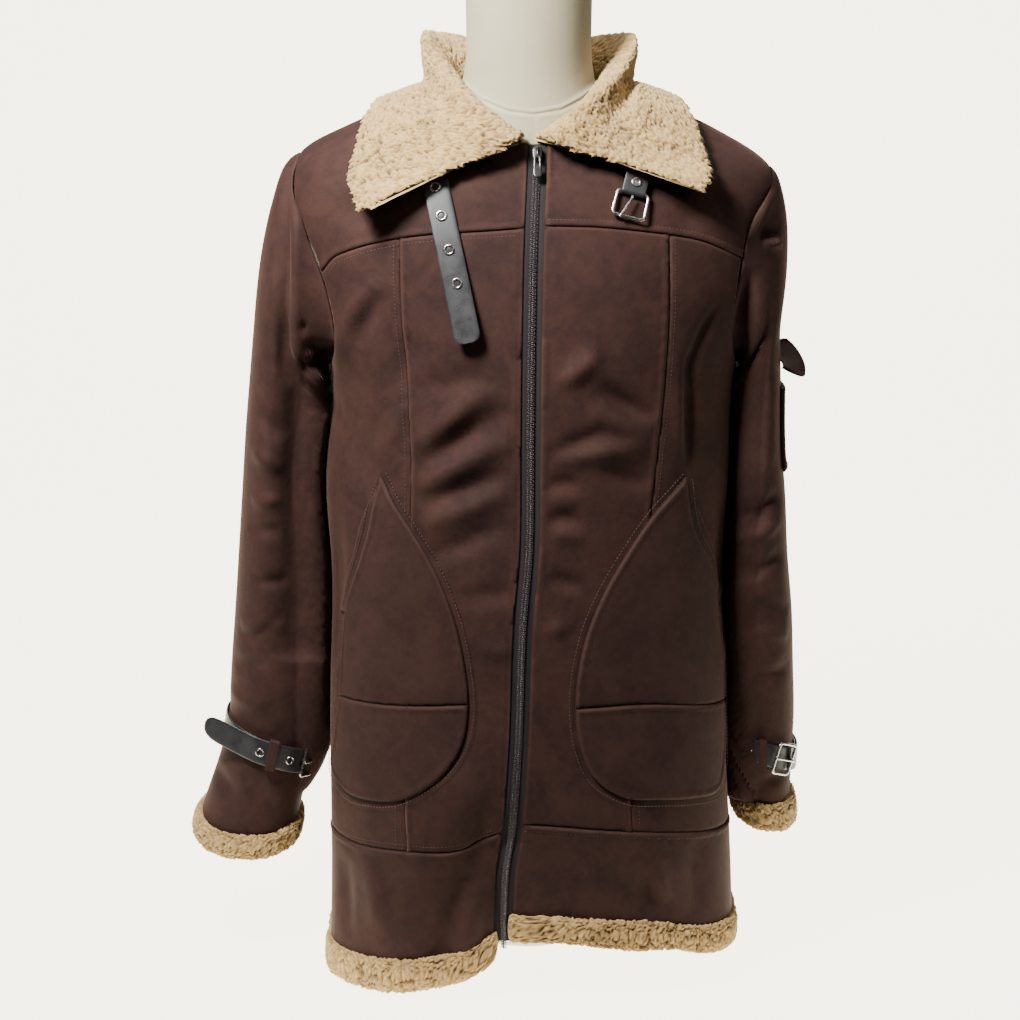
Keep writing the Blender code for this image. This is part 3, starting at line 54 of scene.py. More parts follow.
# %% [markdown]
# ## Camera, floor and light
#
# A long lens two metres away keeps the jacket's proportions. It looks down by 12 degrees. The backdrop is
# one pale sheet, curved up behind like a paper roll in a studio, so that no horizon shows. It is only as
# wide as the view, because it glows, and a wider one would light the jacket's sides. The key light is
# small, high on the left and near, so that it falls off down the jacket and picks out the creases. A weaker
# one on the right keeps the dark suede from closing up.

# %% Camera
camera = bpy.data.objects.new("camera", bpy.data.cameras.new("camera"))
camera.location = (-0.0177, -2.02055, 0.87241)
camera.rotation_euler = (np.radians(78), 0, 0)
camera.data.lens = 72
camera.data.sensor_width = 36
bpy.context.scene.collection.objects.link(camera)
bpy.context.scene.camera = camera

# %% Points and faces into an object


def make_piece(name, points, faces, finish=None):
    """A smooth-shaded object from points in millimetres and rows of corners. A closed one is made to face
    out."""
    points, faces = np.asarray(points, float).reshape(-1, 3), np.asarray(faces, int)
    a, b, c = points[faces[:, 0]], points[faces[:, 1]], points[faces[:, -1]]
    if finish and (a * np.cross(b, c)).sum() + (b * np.cross(points[faces[:, 2]], c)).sum() < 0:
        faces = faces[:, ::-1]
    mesh = bpy.data.meshes.new(name)
    mesh.vertices.add(len(points))
    mesh.vertices.foreach_set("co", (points * MM).ravel())
    mesh.loops.add(faces.size)
    mesh.loops.foreach_set("vertex_index", faces.ravel())
    mesh.polygons.add(len(faces))
    mesh.polygons.foreach_set("loop_start", np.arange(len(faces)) * faces.shape[1])
    mesh.update(calc_edges=True)
    mesh.shade_smooth()
    if finish:
        mesh.materials.append(finish)
    made = bpy.data.objects.new(name, mesh)
    bpy.context.scene.collection.objects.link(made)
    return made


def dress(piece, *nodes, body="root"):
    """The piece rides a body and stands for these solids of the frame, which it hides."""
    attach(piece, body)
    if nodes:
        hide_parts(*nodes)


def add_attribute(piece, name, values):
    """One number for each point, which a material reads by its name."""
    made = piece.data.attributes.new(name, "FLOAT", "POINT")
    made.data.foreach_set("value", np.asarray(values, np.float32).ravel())


def grid_faces(rows, columns, wrap=False):
    """Four-cornered faces of a grid of points, row by row. Wrap joins its last row to its first."""
    r, c = np.meshgrid(np.arange(rows if wrap else rows - 1), np.arange(columns - 1), indexing="ij")
    after = (r + 1) % rows
    corners = (r * columns + c, r * columns + c + 1, after * columns + c + 1, after * columns + c)
    return np.stack(corners, -1).reshape(-1, 4)


def from_edge(rows, columns, row_step, column_step, both=False):
    """Distance of each point of a grid to its nearest edge. The first column is one only if both is true."""
    row, along = np.arange(rows), np.arange(columns)
    last = np.minimum(along, along[::-1]) if both else along[::-1]
    return np.minimum(np.minimum(row, row[::-1])[:, None] * row_step, last * column_step)


# %% Backdrop and lights
FLOOR_FRONT, FLOOR_BACK, BEND_RADIUS, WALL_TOP, PAPER_HALF = -260, 1600, 700, 1300, 1250
turn = np.linspace(0, np.pi / 2, 24)
bend = np.stack([FLOOR_BACK + BEND_RADIUS * np.sin(turn), BEND_RADIUS - BEND_RADIUS * np.cos(turn)], 1)
profile = np.concatenate([[(FLOOR_FRONT, 0)], bend, [(FLOOR_BACK + BEND_RADIUS, WALL_TOP)]])
across, back = np.meshgrid(np.linspace(-PAPER_HALF, PAPER_HALF, 9), profile[:, 0], indexing="ij")
paper_roll = np.stack([across, back, np.broadcast_to(profile[:, 1], back.shape)], -1)
backdrop = make_piece("backdrop", paper_roll, grid_faces(*back.shape)[:, ::-1])


def add_light(name, place, size, power, colour):
    """A square area light of this size in metres, aimed at the chest."""
    light = bpy.data.lights.new(name, "AREA")
    light.size, light.energy, light.color = size, power, colour
    made = bpy.data.objects.new(name, light)
    made.location = place
    made.rotation_euler = (Vector((0, 0, 0.75)) - Vector(place)).to_track_quat("-Z", "Y").to_euler()
    bpy.context.scene.collection.objects.link(made)


add_light("key", (-0.52, -0.7, 1.5), 0.3, 52, (1.0, 0.985, 0.96))
add_light("fill", (1.1, -1.4, 1.85), 1.0, 7, (1.0, 0.99, 0.98))
add_light("top", (0.1, 0.2, 2.0), 0.9, 12, (1.0, 1.0, 1.0))
world = bpy.data.worlds.new("studio")
world.use_nodes = True
world.node_tree.nodes["Background"].inputs["Color"].default_value = (0.9, 0.89, 0.87, 1)
world.node_tree.nodes["Background"].inputs["Strength"].default_value = 0.08
bpy.context.scene.world = world
print("stage and three lights")

# %% [markdown]
# ## Materials
#
# A material is built by small nodes joined by links. One helper adds a node, sets its properties and fills
# its inputs, with a number, a colour or the output of an earlier node. Colours are written as sRGB hex, as
# a paint or cloth chart gives them, and one function turns them into the linear numbers that light adds up
# in. Object coordinates are in metres here, so a pattern that repeats every s millimetres has scale 1000 /
# s.

# %% Helpers for materials


def linear(hex_colour):
    """An sRGB colour such as 4f362f as linear red, green, blue and alpha."""
    srgb = np.array([int(hex_colour[i : i + 2], 16) for i in (0, 2, 4)]) / 255
    return (*np.where(srgb <= 0.04045, srgb / 12.92, ((srgb + 0.055) / 1.055) ** 2.4), 1)


def per_mm(size):
    """The scale of a pattern whose features are this many millimetres across."""
    return 1000 / size


def new_material(name, colour, roughness, **sockets):
    """A Principled material with its constants on the shader's own sockets. It is named after its slot."""
    made = bpy.data.materials.new(f"{name} finish")
    made.use_nodes = True
    shader = made.node_tree.nodes["Principled BSDF"]
    shader.inputs["Base Color"].default_value = linear(colour)
    shader.inputs["Roughness"].default_value = roughness
    for socket, value in sockets.items():
        shader.inputs[socket.replace("_", " ")].default_value = value
    return made


def add_node(made, kind, settings=None, **inputs):
    """A node in a material. An input is named by its socket, or by i and its number."""
    tree = made.node_tree
    added = tree.nodes.new("ShaderNode" + kind)
    for name, value in (settings or {}).items():
        setattr(added, name, value)
    for name, value in inputs.items():
        socket = added.inputs[int(name[1:])] if name[1:].isdigit() else added.inputs[name.replace("_", " ")]
        if isinstance(value, bpy.types.NodeSocket):
            tree.links.new(value, socket)
        else:
            socket.default_value = value
    return added


def object_place(made):
    """Object coordinates: places in metres on the piece itself."""
    return add_node(made, "TexCoord").outputs["Object"]


def noise(made, place, size_mm, detail, **extra):
    """Noise whose largest features are this many millimetres across."""
    return add_node(made, "TexNoise", Vector=place, Scale=per_mm(size_mm), Detail=detail, **extra)


def join(made, output, socket):
    made.node_tree.links.new(output, made.node_tree.nodes["Principled BSDF"].inputs[socket])


def blend_colours(made, factor, low, high):
    """A ramp from one colour to another as the factor goes from 0 to 1."""
    ramp = add_node(made, "ValToRGB", i0=factor)
    ramp.color_ramp.elements[0].color = linear(low)
    ramp.color_ramp.elements[1].color = linear(high)
    return ramp


def bump(made, height, strength, depth_mm, under=None):
    """A bump of this depth, on top of an earlier one."""
    extra = {"Normal": under} if under else {}
    return add_node(made, "Bump", Height=height, Strength=strength, Distance=depth_mm * MM,
            **extra).outputs[0]


# %% [markdown]
# ### Brushed suede
#
# Polyester suede, bonded to fleece and brushed. The fine nap scatters light at grazing angles, which the
# shader's sheen gives, and it lies in soft patches a few centimetres wide, lighter where it was stroked one
# way. Its edges along the seams are rubbed a little lighter, and within a millimetre of a seam the colour is
# painted darker, as painted shade in the seam's valley.

# %% Suede


def make_suede(name, dark, light, worn):
    made = new_material(name, dark, 0.82, Sheen_Weight=0.22, Sheen_Roughness=0.4, Specular_IOR_Level=0.2)
    made.node_tree.nodes["Principled BSDF"].inputs["Sheen Tint"].default_value = linear("9c7a6a")
    place = object_place(made)
    patches = noise(made, place, 45, 5, Roughness=0.6, Distortion=0.6)
    streaks = noise(made, place, 9, 3, Roughness=0.65)
    nap = noise(made, place, 1.1, 2, Roughness=0.6)
    both = add_node(made, "Math", {"operation": "MULTIPLY_ADD"}, i0=streaks.outputs[0], i1=0.5,
                    i2=patches.outputs[0])
    shift = add_node(made, "MapRange", i0=both.outputs[0], i1=0.58, i2=0.94)
    base = blend_colours(made, shift.outputs[0], dark, light)
    seam = add_node(made, "Attribute", {"attribute_name": "seam"}).outputs["Fac"]
    rubbed = add_node(made, "MapRange", i0=seam, i1=4.0, i2=1.5, i3=0.0, i4=0.3)
    edge = add_node(made, "Mix", {"data_type": "RGBA"}, i0=rubbed.outputs[0], i6=base.outputs[0],
            i7=linear(worn))
    # Painted shade: within a millimetre of a seam the colour is darkened towards 1d1310, as if the seam's
    # valley were shaded.
    valley = add_node(made, "MapRange", i0=seam, i1=1.0, i2=0.2, i3=0.0, i4=0.8)
    deep = add_node(made, "Mix", {"data_type": "RGBA"}, i0=valley.outputs[0], i6=edge.outputs[2],
                    i7=linear("1d1310"))
    join(made, deep.outputs[2], "Base Color")
    height = bump(made, streaks.outputs[0], 0.4, 1.0)
    join(made, bump(made, nap.outputs[0], 0.6, 0.4, height), "Normal")
    return made


suede = make_suede("suede", "291714", "38221c", "4d342d")
pocket_suede = make_suede("pocket_suede", "291713", "35201b", "4a322b")
print("suede:", suede.name, "and", pocket_suede.name)

# %% [markdown]
# ### Sherpa fleece
#
# Acrylic pile, curled into small locks with cracks between them. The locks are real shapes in the mesh, and
# the attribute "pile" says how high a point lies in them. The cracks are darker and browner because little
# light comes back out, so the colour follows the pile. Fine noise stands for the single fibres.

# %% Fleece
fleece = new_material("fleece", "c8b38e", 0.95, Sheen_Weight=0.35, Sheen_Roughness=0.6,
                      Specular_IOR_Level=0.15)
fleece.node_tree.nodes["Principled BSDF"].inputs["Sheen Tint"].default_value = linear("f2e4c6")
place = object_place(fleece)
pile = add_node(fleece, "Attribute", {"attribute_name": "pile"}).outputs["Fac"]
tone = noise(fleece, place, 30, 3)
fibres = noise(fleece, place, 1.0, 3, Roughness=0.7, Distortion=1.2)
lit = add_node(fleece, "Math", {"operation": "MULTIPLY_ADD"}, i0=tone.outputs[0], i1=0.35, i2=pile)
ramp = blend_colours(fleece, add_node(fleece, "MapRange", i0=lit.outputs[0], i1=0.2, i2=0.95).outputs[0],
                     "4f3b24", "c0a069")
ramp.color_ramp.elements.new(0.4).color = linear("987a4c")
join(fleece, ramp.outputs[0], "Base Color")
join(fleece, bump(fleece, fibres.outputs[0], 0.7, 0.7), "Normal")
print("fleece")

# %% [markdown]
# ### Black leather, nickel, zip and canvas
#
# The straps are split cowhide with a smooth pressed finish: nearly black, half glossy, with a fine pebble
# grain about a millimetre across and soft scuffs. The hardware is zinc alloy plated with nickel, and the
# zip's slider is plated darker. The zip is woven polyester tape with a nylon coil. The dress form is
# covered in stretched cotton canvas.

# %% Leather
leather = new_material("leather", "1f1f21", 0.4, Specular_IOR_Level=0.55)
place = object_place(leather)
grain = add_node(leather, "TexVoronoi", Vector=place, Scale=per_mm(1.1), Randomness=1.0)
scuffs = noise(leather, place, 14, 5, Roughness=0.7)
join(leather, blend_colours(leather, scuffs.outputs[0], "161618", "2b2b2e").outputs[0], "Base Color")
join(leather, add_node(leather, "MapRange", i0=scuffs.outputs[0], i1=0.3, i2=0.7, i3=0.34,
        i4=0.52).outputs[0],
     "Roughness")
join(leather, bump(leather, grain.outputs[0], 0.25, 0.2), "Normal")

# %% Nickel
nickel = new_material("metal", "b9b8b4", 0.24, Metallic=1.0)
place = object_place(nickel)
wear = noise(nickel, place, 3, 4)
join(nickel, add_node(nickel, "MapRange", i0=wear.outputs[0], i1=0.3, i2=0.7, i3=0.16, i4=0.36).outputs[0],
     "Roughness")
join(nickel, blend_colours(nickel, wear.outputs[0], "9b9a96", "cfcecb").outputs[0], "Base Color")

dark_nickel = new_material("metal", "4a4647", 0.3, Metallic=1.0)
place = object_place(dark_nickel)
wear = noise(dark_nickel, place, 2, 4)
join(dark_nickel, blend_colours(dark_nickel, wear.outputs[0], "343132", "6a6667").outputs[0], "Base Color")

# %% Zip tape and coil
tape_cloth = new_material("zip_tape", "40373a", 0.85, Specular_IOR_Level=0.25)
place = object_place(tape_cloth)
ribs = add_node(tape_cloth, "TexWave", {"bands_direction": "X"}, Vector=place, Scale=per_mm(2.4) / 20,
                Distortion=0.3)
join(tape_cloth, blend_colours(tape_cloth, ribs.outputs[1], "1f1a1b", "2a2425").outputs[0], "Base Color")
join(tape_cloth, bump(tape_cloth, ribs.outputs[1], 0.4, 0.3), "Normal")

coil_nylon = new_material("zip_coil", "3a3234", 0.38)
place = object_place(coil_nylon)
cloudy = noise(coil_nylon, place, 5, 3)
join(coil_nylon, blend_colours(coil_nylon, cloudy.outputs[0], "1f1a1b", "383133").outputs[0], "Base Color")

# %% Canvas and painted steel
canvas = new_material("canvas", "bdb69c", 0.85, Sheen_Weight=0.1)
place = object_place(canvas)
# The threads are 0.5 mm apart, drawn 1.2 mm apart so that they show.
warp = add_node(canvas, "TexWave", {"bands_direction": "X"}, Vector=place, Scale=per_mm(1.2) / 20)
weft = add_node(canvas, "TexWave", {"bands_direction": "Z"}, Vector=place, Scale=per_mm(1.2) / 20)
weave = add_node(canvas, "Math", {"operation": "MULTIPLY"}, i0=warp.outputs[1], i1=weft.outputs[1])
soil = noise(canvas, place, 60, 5)
join(canvas, blend_colours(canvas, soil.outputs[0], "9f967a", "b9b092").outputs[0], "Base Color")
join(canvas, bump(canvas, weave.outputs[0], 0.3, 0.15), "Normal")

steel = new_material("stand_steel", "d9d5cb", 0.5)
place = object_place(steel)
peel = noise(steel, place, 0.8, 2)
join(steel, bump(steel, peel.outputs[0], 0.15, 0.1), "Normal")

paper = new_material("paper", "6f6e6b", 1.0, Emission_Strength=5.6)
paper.node_tree.nodes["Principled BSDF"].inputs["Emission Color"].default_value = linear("fff6e0")
backdrop.data.materials.append(paper)
print("leather, nickel, tape, coil, canvas, steel and paper")

# %% [markdown]
# ## The body's surface
#
# The body is one smooth surface. Each row of the table is a ring with four heights, so that rings can rise
# over the shoulders, and with its reach to each side, front and back. A ring is a superellipse, fuller than
# an ellipse. A smooth curve through each column gives every ring between the rows. The rows are those of
# the construction, so the fine surface lies on its solids.

# %% Rings of the body
TORSO_COLUMNS = ("level", "front_z", "right_z", "back_z", "left_z", "right", "left", "front", "widest",
                 "back", "square")
TORSO_ROWS = (
    (0, -20, -15, 20, 0, -197, 206, -188, -105, 104, 2.6),
    (120, 100, 108, 112, 110, -196, 203, -188, -85, 106, 2.6),
    (260, 240, 250, 250, 250, -197, 196, -184, -62, 104, 2.5),
    (400, 380, 390, 390, 390, -195, 194, -176, -45, 98, 2.3),
    (500, 480, 488, 490, 488, -199, 197, -170, -40, 92, 2.3),
    (610, 590, 596, 602, 596, -192, 201, -166, -40, 92, 2.3),
    (690, 662, 676, 684, 672, -217, 222, -160, -40, 94, 2.4),
    (765, 722, 746, 762, 736, -233, 237, -150, -40, 92, 2.4),
    (825, 760, 800, 812, 788, -219, 231, -138, -40, 84, 2.4),
    (880, 784, 828, 842, 824, -171, 178, -127, -40, 68, 2.3),
    (930, 800, 847, 862, 847, -120, 124, -119, -40, 44, 2.2),
    (975, 812, 862, 872, 862, -76, 76, -113, -42, 18, 2.1),
)
BOTTOM, TOP = TORSO_ROWS[0][0], TORSO_ROWS[-1][0]
MM_PER_DEGREE = 2.9  # a degree round the body, on the flat sheet in which the panels are cut


def smooth(xs, ys, x):
    """A smooth curve through points, read at x: cubic pieces whose slope at a point is its neighbours'
    mean."""
    xs, ys, x = (np.asarray(a, float) for a in (xs, ys, x))
    secant = np.diff(ys) / np.diff(xs)
    slope = np.concatenate([secant[:1], (secant[1:] + secant[:-1]) / 2, secant[-1:]])
    i = np.clip(np.searchsorted(xs, x) - 1, 0, len(xs) - 2)
    width = xs[i + 1] - xs[i]
    t = (x - xs[i]) / width
    return (
        ys[i] * (1 + 2 * t) * (1 - t) ** 2
        + ys[i + 1] * t * t * (3 - 2 * t)
        + width * (slope[i] * t * (1 - t) ** 2 - slope[i + 1] * t * t * (1 - t))
    )


def column(rows, columns, name, at):
    """One column of a table, as the smooth curve through it read at values of the first column."""
    return smooth([row[0] for row in rows], [row[columns.index(name)] for row in rows], at)


def power(value, exponent):
    return np.sign(value) * np.abs(value) ** exponent


def torso_base(angle, level):
    """x = middle + half width × cos(angle)^(2/square), y the same with sin, z from the ring's four
    heights."""
    row = {name: column(TORSO_ROWS, TORSO_COLUMNS, name, level) for name in TORSO_COLUMNS[1:]}
    across, along = np.cos(np.radians(angle)), np.sin(np.radians(angle))
    middle, half = (row["left"] + row["right"]) / 2, (row["left"] - row["right"]) / 2
    reach = np.where(along < 0, row["widest"] - row["front"], row["back"] - row["widest"])
    side_z = np.where(across < 0, row["right_z"], row["left_z"])
    end_z = np.where(along < 0, row["front_z"], row["back_z"])
    return np.stack(
        [
            middle + half * power(across, 2 / row["square"]),
            row["widest"] + reach * power(along, 2 / row["square"]),
            side_z + (end_z - side_z) * along**2,
        ],
        -1,
    )


# The largest folds are in the construction too: straight soft ridges, or troughs where the height is below
# 0.
FOLD_COLUMNS = ("x0", "z0", "x1", "z1", "width", "height")
FRONT_FOLDS = (
    (-120, 20, -70, 190, 60, 16),
    (-30, 60, -34, 150, 22, -8),
    (-90, 70, -35, 165, 24, -4),
    (60, 40, 100, 210, 50, 5),
    (-190, 560, -140, 500, 16, -4),
)


def distance_to_fold(x, z, fold):
    run, rise = fold["x1"] - fold["x0"], fold["z1"] - fold["z0"]
    t = np.clip(((x - fold["x0"]) * run + (z - fold["z0"]) * rise) / (run**2 + rise**2), 0, 1)
    return np.hypot(x - fold["x0"] - t * run, z - fold["z0"] - t * rise)


def torso(angle, level):
    """The body with its largest folds: each pushes out by height × exp(−(distance ÷ width)²)."""
    points = torso_base(angle, level)
    out = np.stack([np.cos(np.radians(angle)), np.sin(np.radians(angle))], -1)
    for row in FRONT_FOLDS:
        fold = dict(zip(FOLD_COLUMNS, row))
        away = distance_to_fold(points[..., 0], points[..., 2], fold)
        push = fold["height"] * np.exp(-((away / fold["width"]) ** 2)) * np.clip(-3 * out[..., 1], 0, 1)
        points[..., :2] += push[..., None] * out
    return points


def normals_of(surface, a, b, step_a=0.4, step_b=1.0):
    """Unit normals of surface(a, b): the cross product of its two central differences."""
    across = surface(a + step_a, b) - surface(a - step_a, b)
    up = surface(a, b + step_b) - surface(a, b - step_b)
    normal = np.cross(across, up)
    return normal / np.linalg.norm(normal, axis=-1, keepdims=True)


def torso_normal(angle, level):
    return normals_of(torso, np.asarray(angle, float), np.clip(level, BOTTOM + 2, TOP - 2))


def angle_at(x, level, back):
    right, left, square = (
        column(TORSO_ROWS, TORSO_COLUMNS, name, level) for name in ("right", "left", "square")
    )
    share = np.clip((x - (left + right) / 2) / ((left - right) / 2), -1, 1)
    turn = np.degrees(np.arccos(power(share, square / 2)))
    return turn if back else 360 - turn


def place_on_torso(x, z, back=False):
    """Angle and level of the point at x and height z of the front or back view, by halving the level's
    range."""
    x, z = np.asarray(x, float), np.asarray(z, float)
    low, high = np.full(x.shape, float(BOTTOM)), np.full(x.shape, float(TOP))
    for _ in range(30):
        level = (low + high) / 2
        over = torso_base(angle_at(x, level, back), level)[..., 2] > z
        high, low = np.where(over, level, high), np.where(over, low, level)
    return angle_at(x, level, back), level


ring = torso(np.arange(0, 360, 5.0), np.full(72, 400.0))
print("girth at the waist:", round(float(np.linalg.norm(ring - np.roll(ring, 1, 0), axis=1).sum())), "mm")

# %% [markdown]
# ## Creases
#
# Thick bonded cloth doesn't crease sharply: it buckles in long soft dents, deep near the arms and the zip
# and shallow on the chest. Each row of the next tables is one crease: its two ends on the
# front or back view, how far its middle bows sideways, its width and its height, below 0 for a dent. A few
# hundred of these could come from a simulation, but a short list gives control over where the light
# catches.

# %% Crease tables and their height
CREASE_COLUMNS = ("x0", "z0", "x1", "z1", "bow", "width", "height")
FRONT_CREASES = (
    # right centre panel: slanting folds that rise towards the zip
    (-119, 583, -28, 604, 3, 12, -1.2), (-106, 533, -36, 595, 0, 9, 2.2), (-107, 514, -16, 577, 0, 10, -2.6),
    (-105, 495, -16, 544, 2, 9, 2.4), (-103, 480, -16, 516, 0, 8, -2.0), (-102, 459, -16, 497, 0, 9, 2.0),
    (-97, 430, -16, 468, 0, 9, -1.8), (-119, 586, -108, 644, 0, 10, -1.2), (-62, 392, -14, 402, 1, 9, -1.2),
    (-46, 352, -16, 340, 0, 8, 1.1),
    # right side panel
    (-119, 576, -132, 522, 0, 7, 1.5), (-144, 564, -146, 532, 0, 6, -1.5), (-134, 691, -182, 593, -11, 9,
            2.0),
    (-136, 679, -164, 629, 0, 9, -2.5), (-182, 470, -186, 300, -3, 10, -2.2),
    # left centre panel: the two deep dents meet the zip in sharp puckers
    (26, 592, 66, 621, 0, 8, 1.5), (62, 595, 116, 558, 0, 10, -3.0), (56, 572, 112, 544, 0, 9, 1.8),
    (19, 530, 76, 553, 0, 7, -1.7), (20, 525, 116, 538, 0, 9, 2.2), (17, 505, 50, 502, 0, 7, -1.4),
    (17, 489, 46, 487, 0, 7, 1.2), (17, 471, 50, 469, 0, 7, -1.4), (18, 456, 54, 452, 0, 7, 1.2),
    (66, 516, 112, 497, 0, 10, -1.5), (67, 631, 30, 595, 0, 9, 1.4), (18, 418, 52, 402, 1, 7, -1.4),
    (14, 362, 40, 371, 0, 6, 1.2),
    # left side panel
    (149, 625, 151, 506, 0, 7, -3.0), (139, 625, 144, 506, 0, 7, 1.5), (182, 671, 148, 595, -5, 6, -2.0),
    (186, 480, 189, 320, 3, 10, -2.0),
    # hem bands
    (-50, 152, -88, 30, 0, 9, -2.6), (-33, 216, -54, 138, 0, 8, -1.8), (-36, 130, -66, 40, 0, 10, 2.0),
    (-150, 138, -139, 60, 3, 12, 1.6), (-176, 130, -171, 50, -2, 9, -1.8), (38, 150, 117, 60, 0, 7, 1.0),
    (69, 133, 118, 76, 0, 14, -3.0), (108, 124, 125, 75, 0, 8, -2.5), (119, 143, 130, 92, 0, 9, 2.0),
    (160, 150, 172, 70, -3, 11, -1.6),
    # yokes
    (-178, 762, -120, 738, -3, 14, -1.4), (190, 764, 128, 746, 3, 13, -1.5), (-70, 775, -30, 748, 2, 12, 1.0),
)
BACK_CREASES = (
    (-150, 640, -40, 560, 6, 13, -2.4), (-140, 600, -30, 528, 5, 12, 1.8), (150, 650, 50, 548, -6, 14, -2.6),
    (146, 610, 34, 520, -4, 12, 1.9), (-168, 480, -60, 420, 5, 12, -2.0), (160, 470, 62, 402, -5, 13, -2.2),
    (-90, 760, -60, 660, 4, 16, -1.5), (96, 756, 58, 668, -5, 15, -1.5), (-30, 440, 44, 420, -5, 14, 1.6),
    (-120, 360, -36, 310, 4, 14, -1.7), (118, 350, 40, 280, -4, 15, 1.6), (-60, 250, -78, 168, 3, 11, -1.9),
    (70, 262, 92, 170, -3, 12, -2.1), (-130, 140, -118, 66, 3, 12, 1.8), (24, 140, 30, 72, -2, 11, -1.9),
    (136, 146, 150, 74, -3, 12, 1.6), (-182, 600, -176, 480, 3, 9, -2.4), (184, 590, 178, 470, -3, 9, -2.2),
)


CREASE_SCALE = 2.6  # the tables give the heights of a light cloth: this one is thick


def crease_height(x, z, rows):
    """The sum over the creases of height × exp(−(distance ÷ width)²) × 4·t·(1 − t), t being 0 and 1 at the
    ends."""
    total = np.zeros(np.broadcast(x, z).shape)
    for row in rows:
        crease = dict(zip(CREASE_COLUMNS, row))
        run, rise = crease["x1"] - crease["x0"], crease["z1"] - crease["z0"]
        length = np.hypot(run, rise)
        t = ((x - crease["x0"]) * run + (z - crease["z0"]) * rise) / length**2
        taper = np.clip(4 * t * (1 - t), 0, 1)
        aside = ((z - crease["z0"]) * run - (x - crease["x0"]) * rise) / length - crease["bow"] * taper
        total += crease["height"] * np.exp(-((aside / crease["width"]) ** 2)) * taper
    return total * CREASE_SCALE


def body_creases(angle, level):
    """Height of the creases on the body, from the front table where it faces front and the back table
    behind."""
    points = torso_base(angle, level)
    front = np.clip(-4 * np.sin(np.radians(angle)), 0, 1)
    back = np.clip(4 * np.sin(np.radians(angle)), 0, 1)
    return (crease_height(points[..., 0], points[..., 2], FRONT_CREASES) * front
            + crease_height(points[..., 0], points[..., 2], BACK_CREASES) * back)


print(len(FRONT_CREASES), "creases in front and", len(BACK_CREASES), "behind")

# %% [markdown]
# ## Cutting the panels
#
# A maker draws the seams on a sheet and cuts along them, and so does this cell. The sheet is the body
# unrolled: its angle across and its level up. Seams are drawn on the front view in millimetres and moved to
# the sheet. A constrained triangulation then fills the sheet so that every seam is a row of edges. Points
# lie close together beside the seams, where the cloth rolls into them, and further apart elsewhere.

# %% Seams and outlines
ZIP_LINE = ((8, 815), (4, 729), (2, 640), (1, 540), (0, 440), (-6, 365), (-10, 250), (-16, 170), (-22, 130),
            (-24, 90), (-24, -30))
TAPE = 9.0  # half the zip tapes' width
YOKE_SEAM = {
    RIGHT: ((-245, 680), (-195, 694), (-182, 708), (-167, 715), (-136, 724), (-90, 731), (-45, 734), (-3,
            737)),
    LEFT: ((250, 695), (198, 708), (178, 717), (157, 725), (131, 730), (93, 735), (59, 738), (11, 739)),
}
PRINCESS_SEAM = {
    RIGHT: ((-119, 731), (-118, 665), (-113, 590), (-110, 525), (-111, 473), (-113, 300), (-113, 196),
            (-109, 145)),
    LEFT: ((128, 734), (129, 665), (125, 585), (116, 490), (104, 320), (95, 200), (97, 162)),
}
BAND_SEAM = {
    RIGHT: ((-230, 147), (-185, 146), (-166, 145), (-108, 150), (-66, 153), (-50, 157), (-24, 171)),
    LEFT: ((230, 150), (197, 152), (144, 161), (99, 168), (46, 173), (-10, 178)),
}
HEM_TOP = {
    RIGHT: ((-230, 36), (-174, 35), (-124, 39), (-76, 46), (-52, 53), (-31, 67)),
    LEFT: ((240, 58), (194, 58), (170, 61), (122, 74), (90, 78), (36, 83), (-17, 84)),
}
HEM_BOTTOM = {
    RIGHT: ((-200, 5), (-166, 5), (-134, 6), (-108, 9), (-81, 15), (-54, 23), (-25, 46)),
    LEFT: ((240, 36), (186, 32), (160, 38), (142, 44), (103, 48), (40, 58), (-25, 57)),
}
BACK_BAND_SEAM = ((-230, 147), (-120, 150), (0, 154), (230, 150))
BACK_HEM_TOP = ((-230, 36), (-120, 50), (0, 60), (120, 62), (230, 58))
BACK_HEM_BOTTOM = ((-230, 5), (-120, 20), (0, 32), (120, 36), (230, 36))
ARMHOLE_FRONT = {
    RIGHT: ((-217, 802), (-222, 778), (-220, 755), (-208, 727), (-196, 697), (-186, 655), (-183, 620),
            (-192, 600)),
    LEFT: ((231, 789), (228, 770), (219, 757), (209, 742), (202, 720), (195, 670), (194, 628), (201, 600)),
}
ARMHOLE_BACK = {
    RIGHT: ((-217, 802), (-218, 775), (-213, 740), (-204, 700), (-195, 655), (-186, 622), (-192, 600)),
    LEFT: ((231, 789), (226, 765), (216, 735), (208, 700), (202, 660), (196, 624), (201, 600)),
}
# A pocket is a large teardrop patch with a seam across it. Its opening is on the side of its apex.
POCKET = {
    RIGHT: ((-141, 506), (-126, 482), (-107, 454), (-85, 415), (-69, 372), (-60, 328), (-57, 292), (-61, 258),
            (-74, 232), (-94, 212), (-117, 199), (-145, 193), (-172, 193), (-189, 206), (-187, 241), (-181,
                    290),
            (-180, 330), (-176, 367), (-158, 426), (-150, 455)),
    LEFT: ((147, 503), (134, 490), (115, 470), (91, 436), (72, 404), (56, 367), (47, 330), (44, 291), (48,
            255),
           (62, 222), (90, 203), (121, 198), (155, 193), (183, 192), (190, 215), (190, 279), (189, 343),
           (186, 374), (174, 413), (155, 454)),
}
POCKET_SEAM = {
    RIGHT: ((-190, 284), (-136, 287), (-64, 293), (-54, 294)),
    LEFT: ((41, 290), (114, 290), (194, 274)),
}
FACING = {
    RIGHT: ((-142, 503), (-161, 453), (-167, 428), (-177, 398), (-187, 362), (-172, 370), (-155, 425),
            (-147, 455)),
    LEFT: ((148, 500), (164, 463), (177, 434), (187, 400), (192, 374), (183, 371), (170, 412), (152, 452)),
}


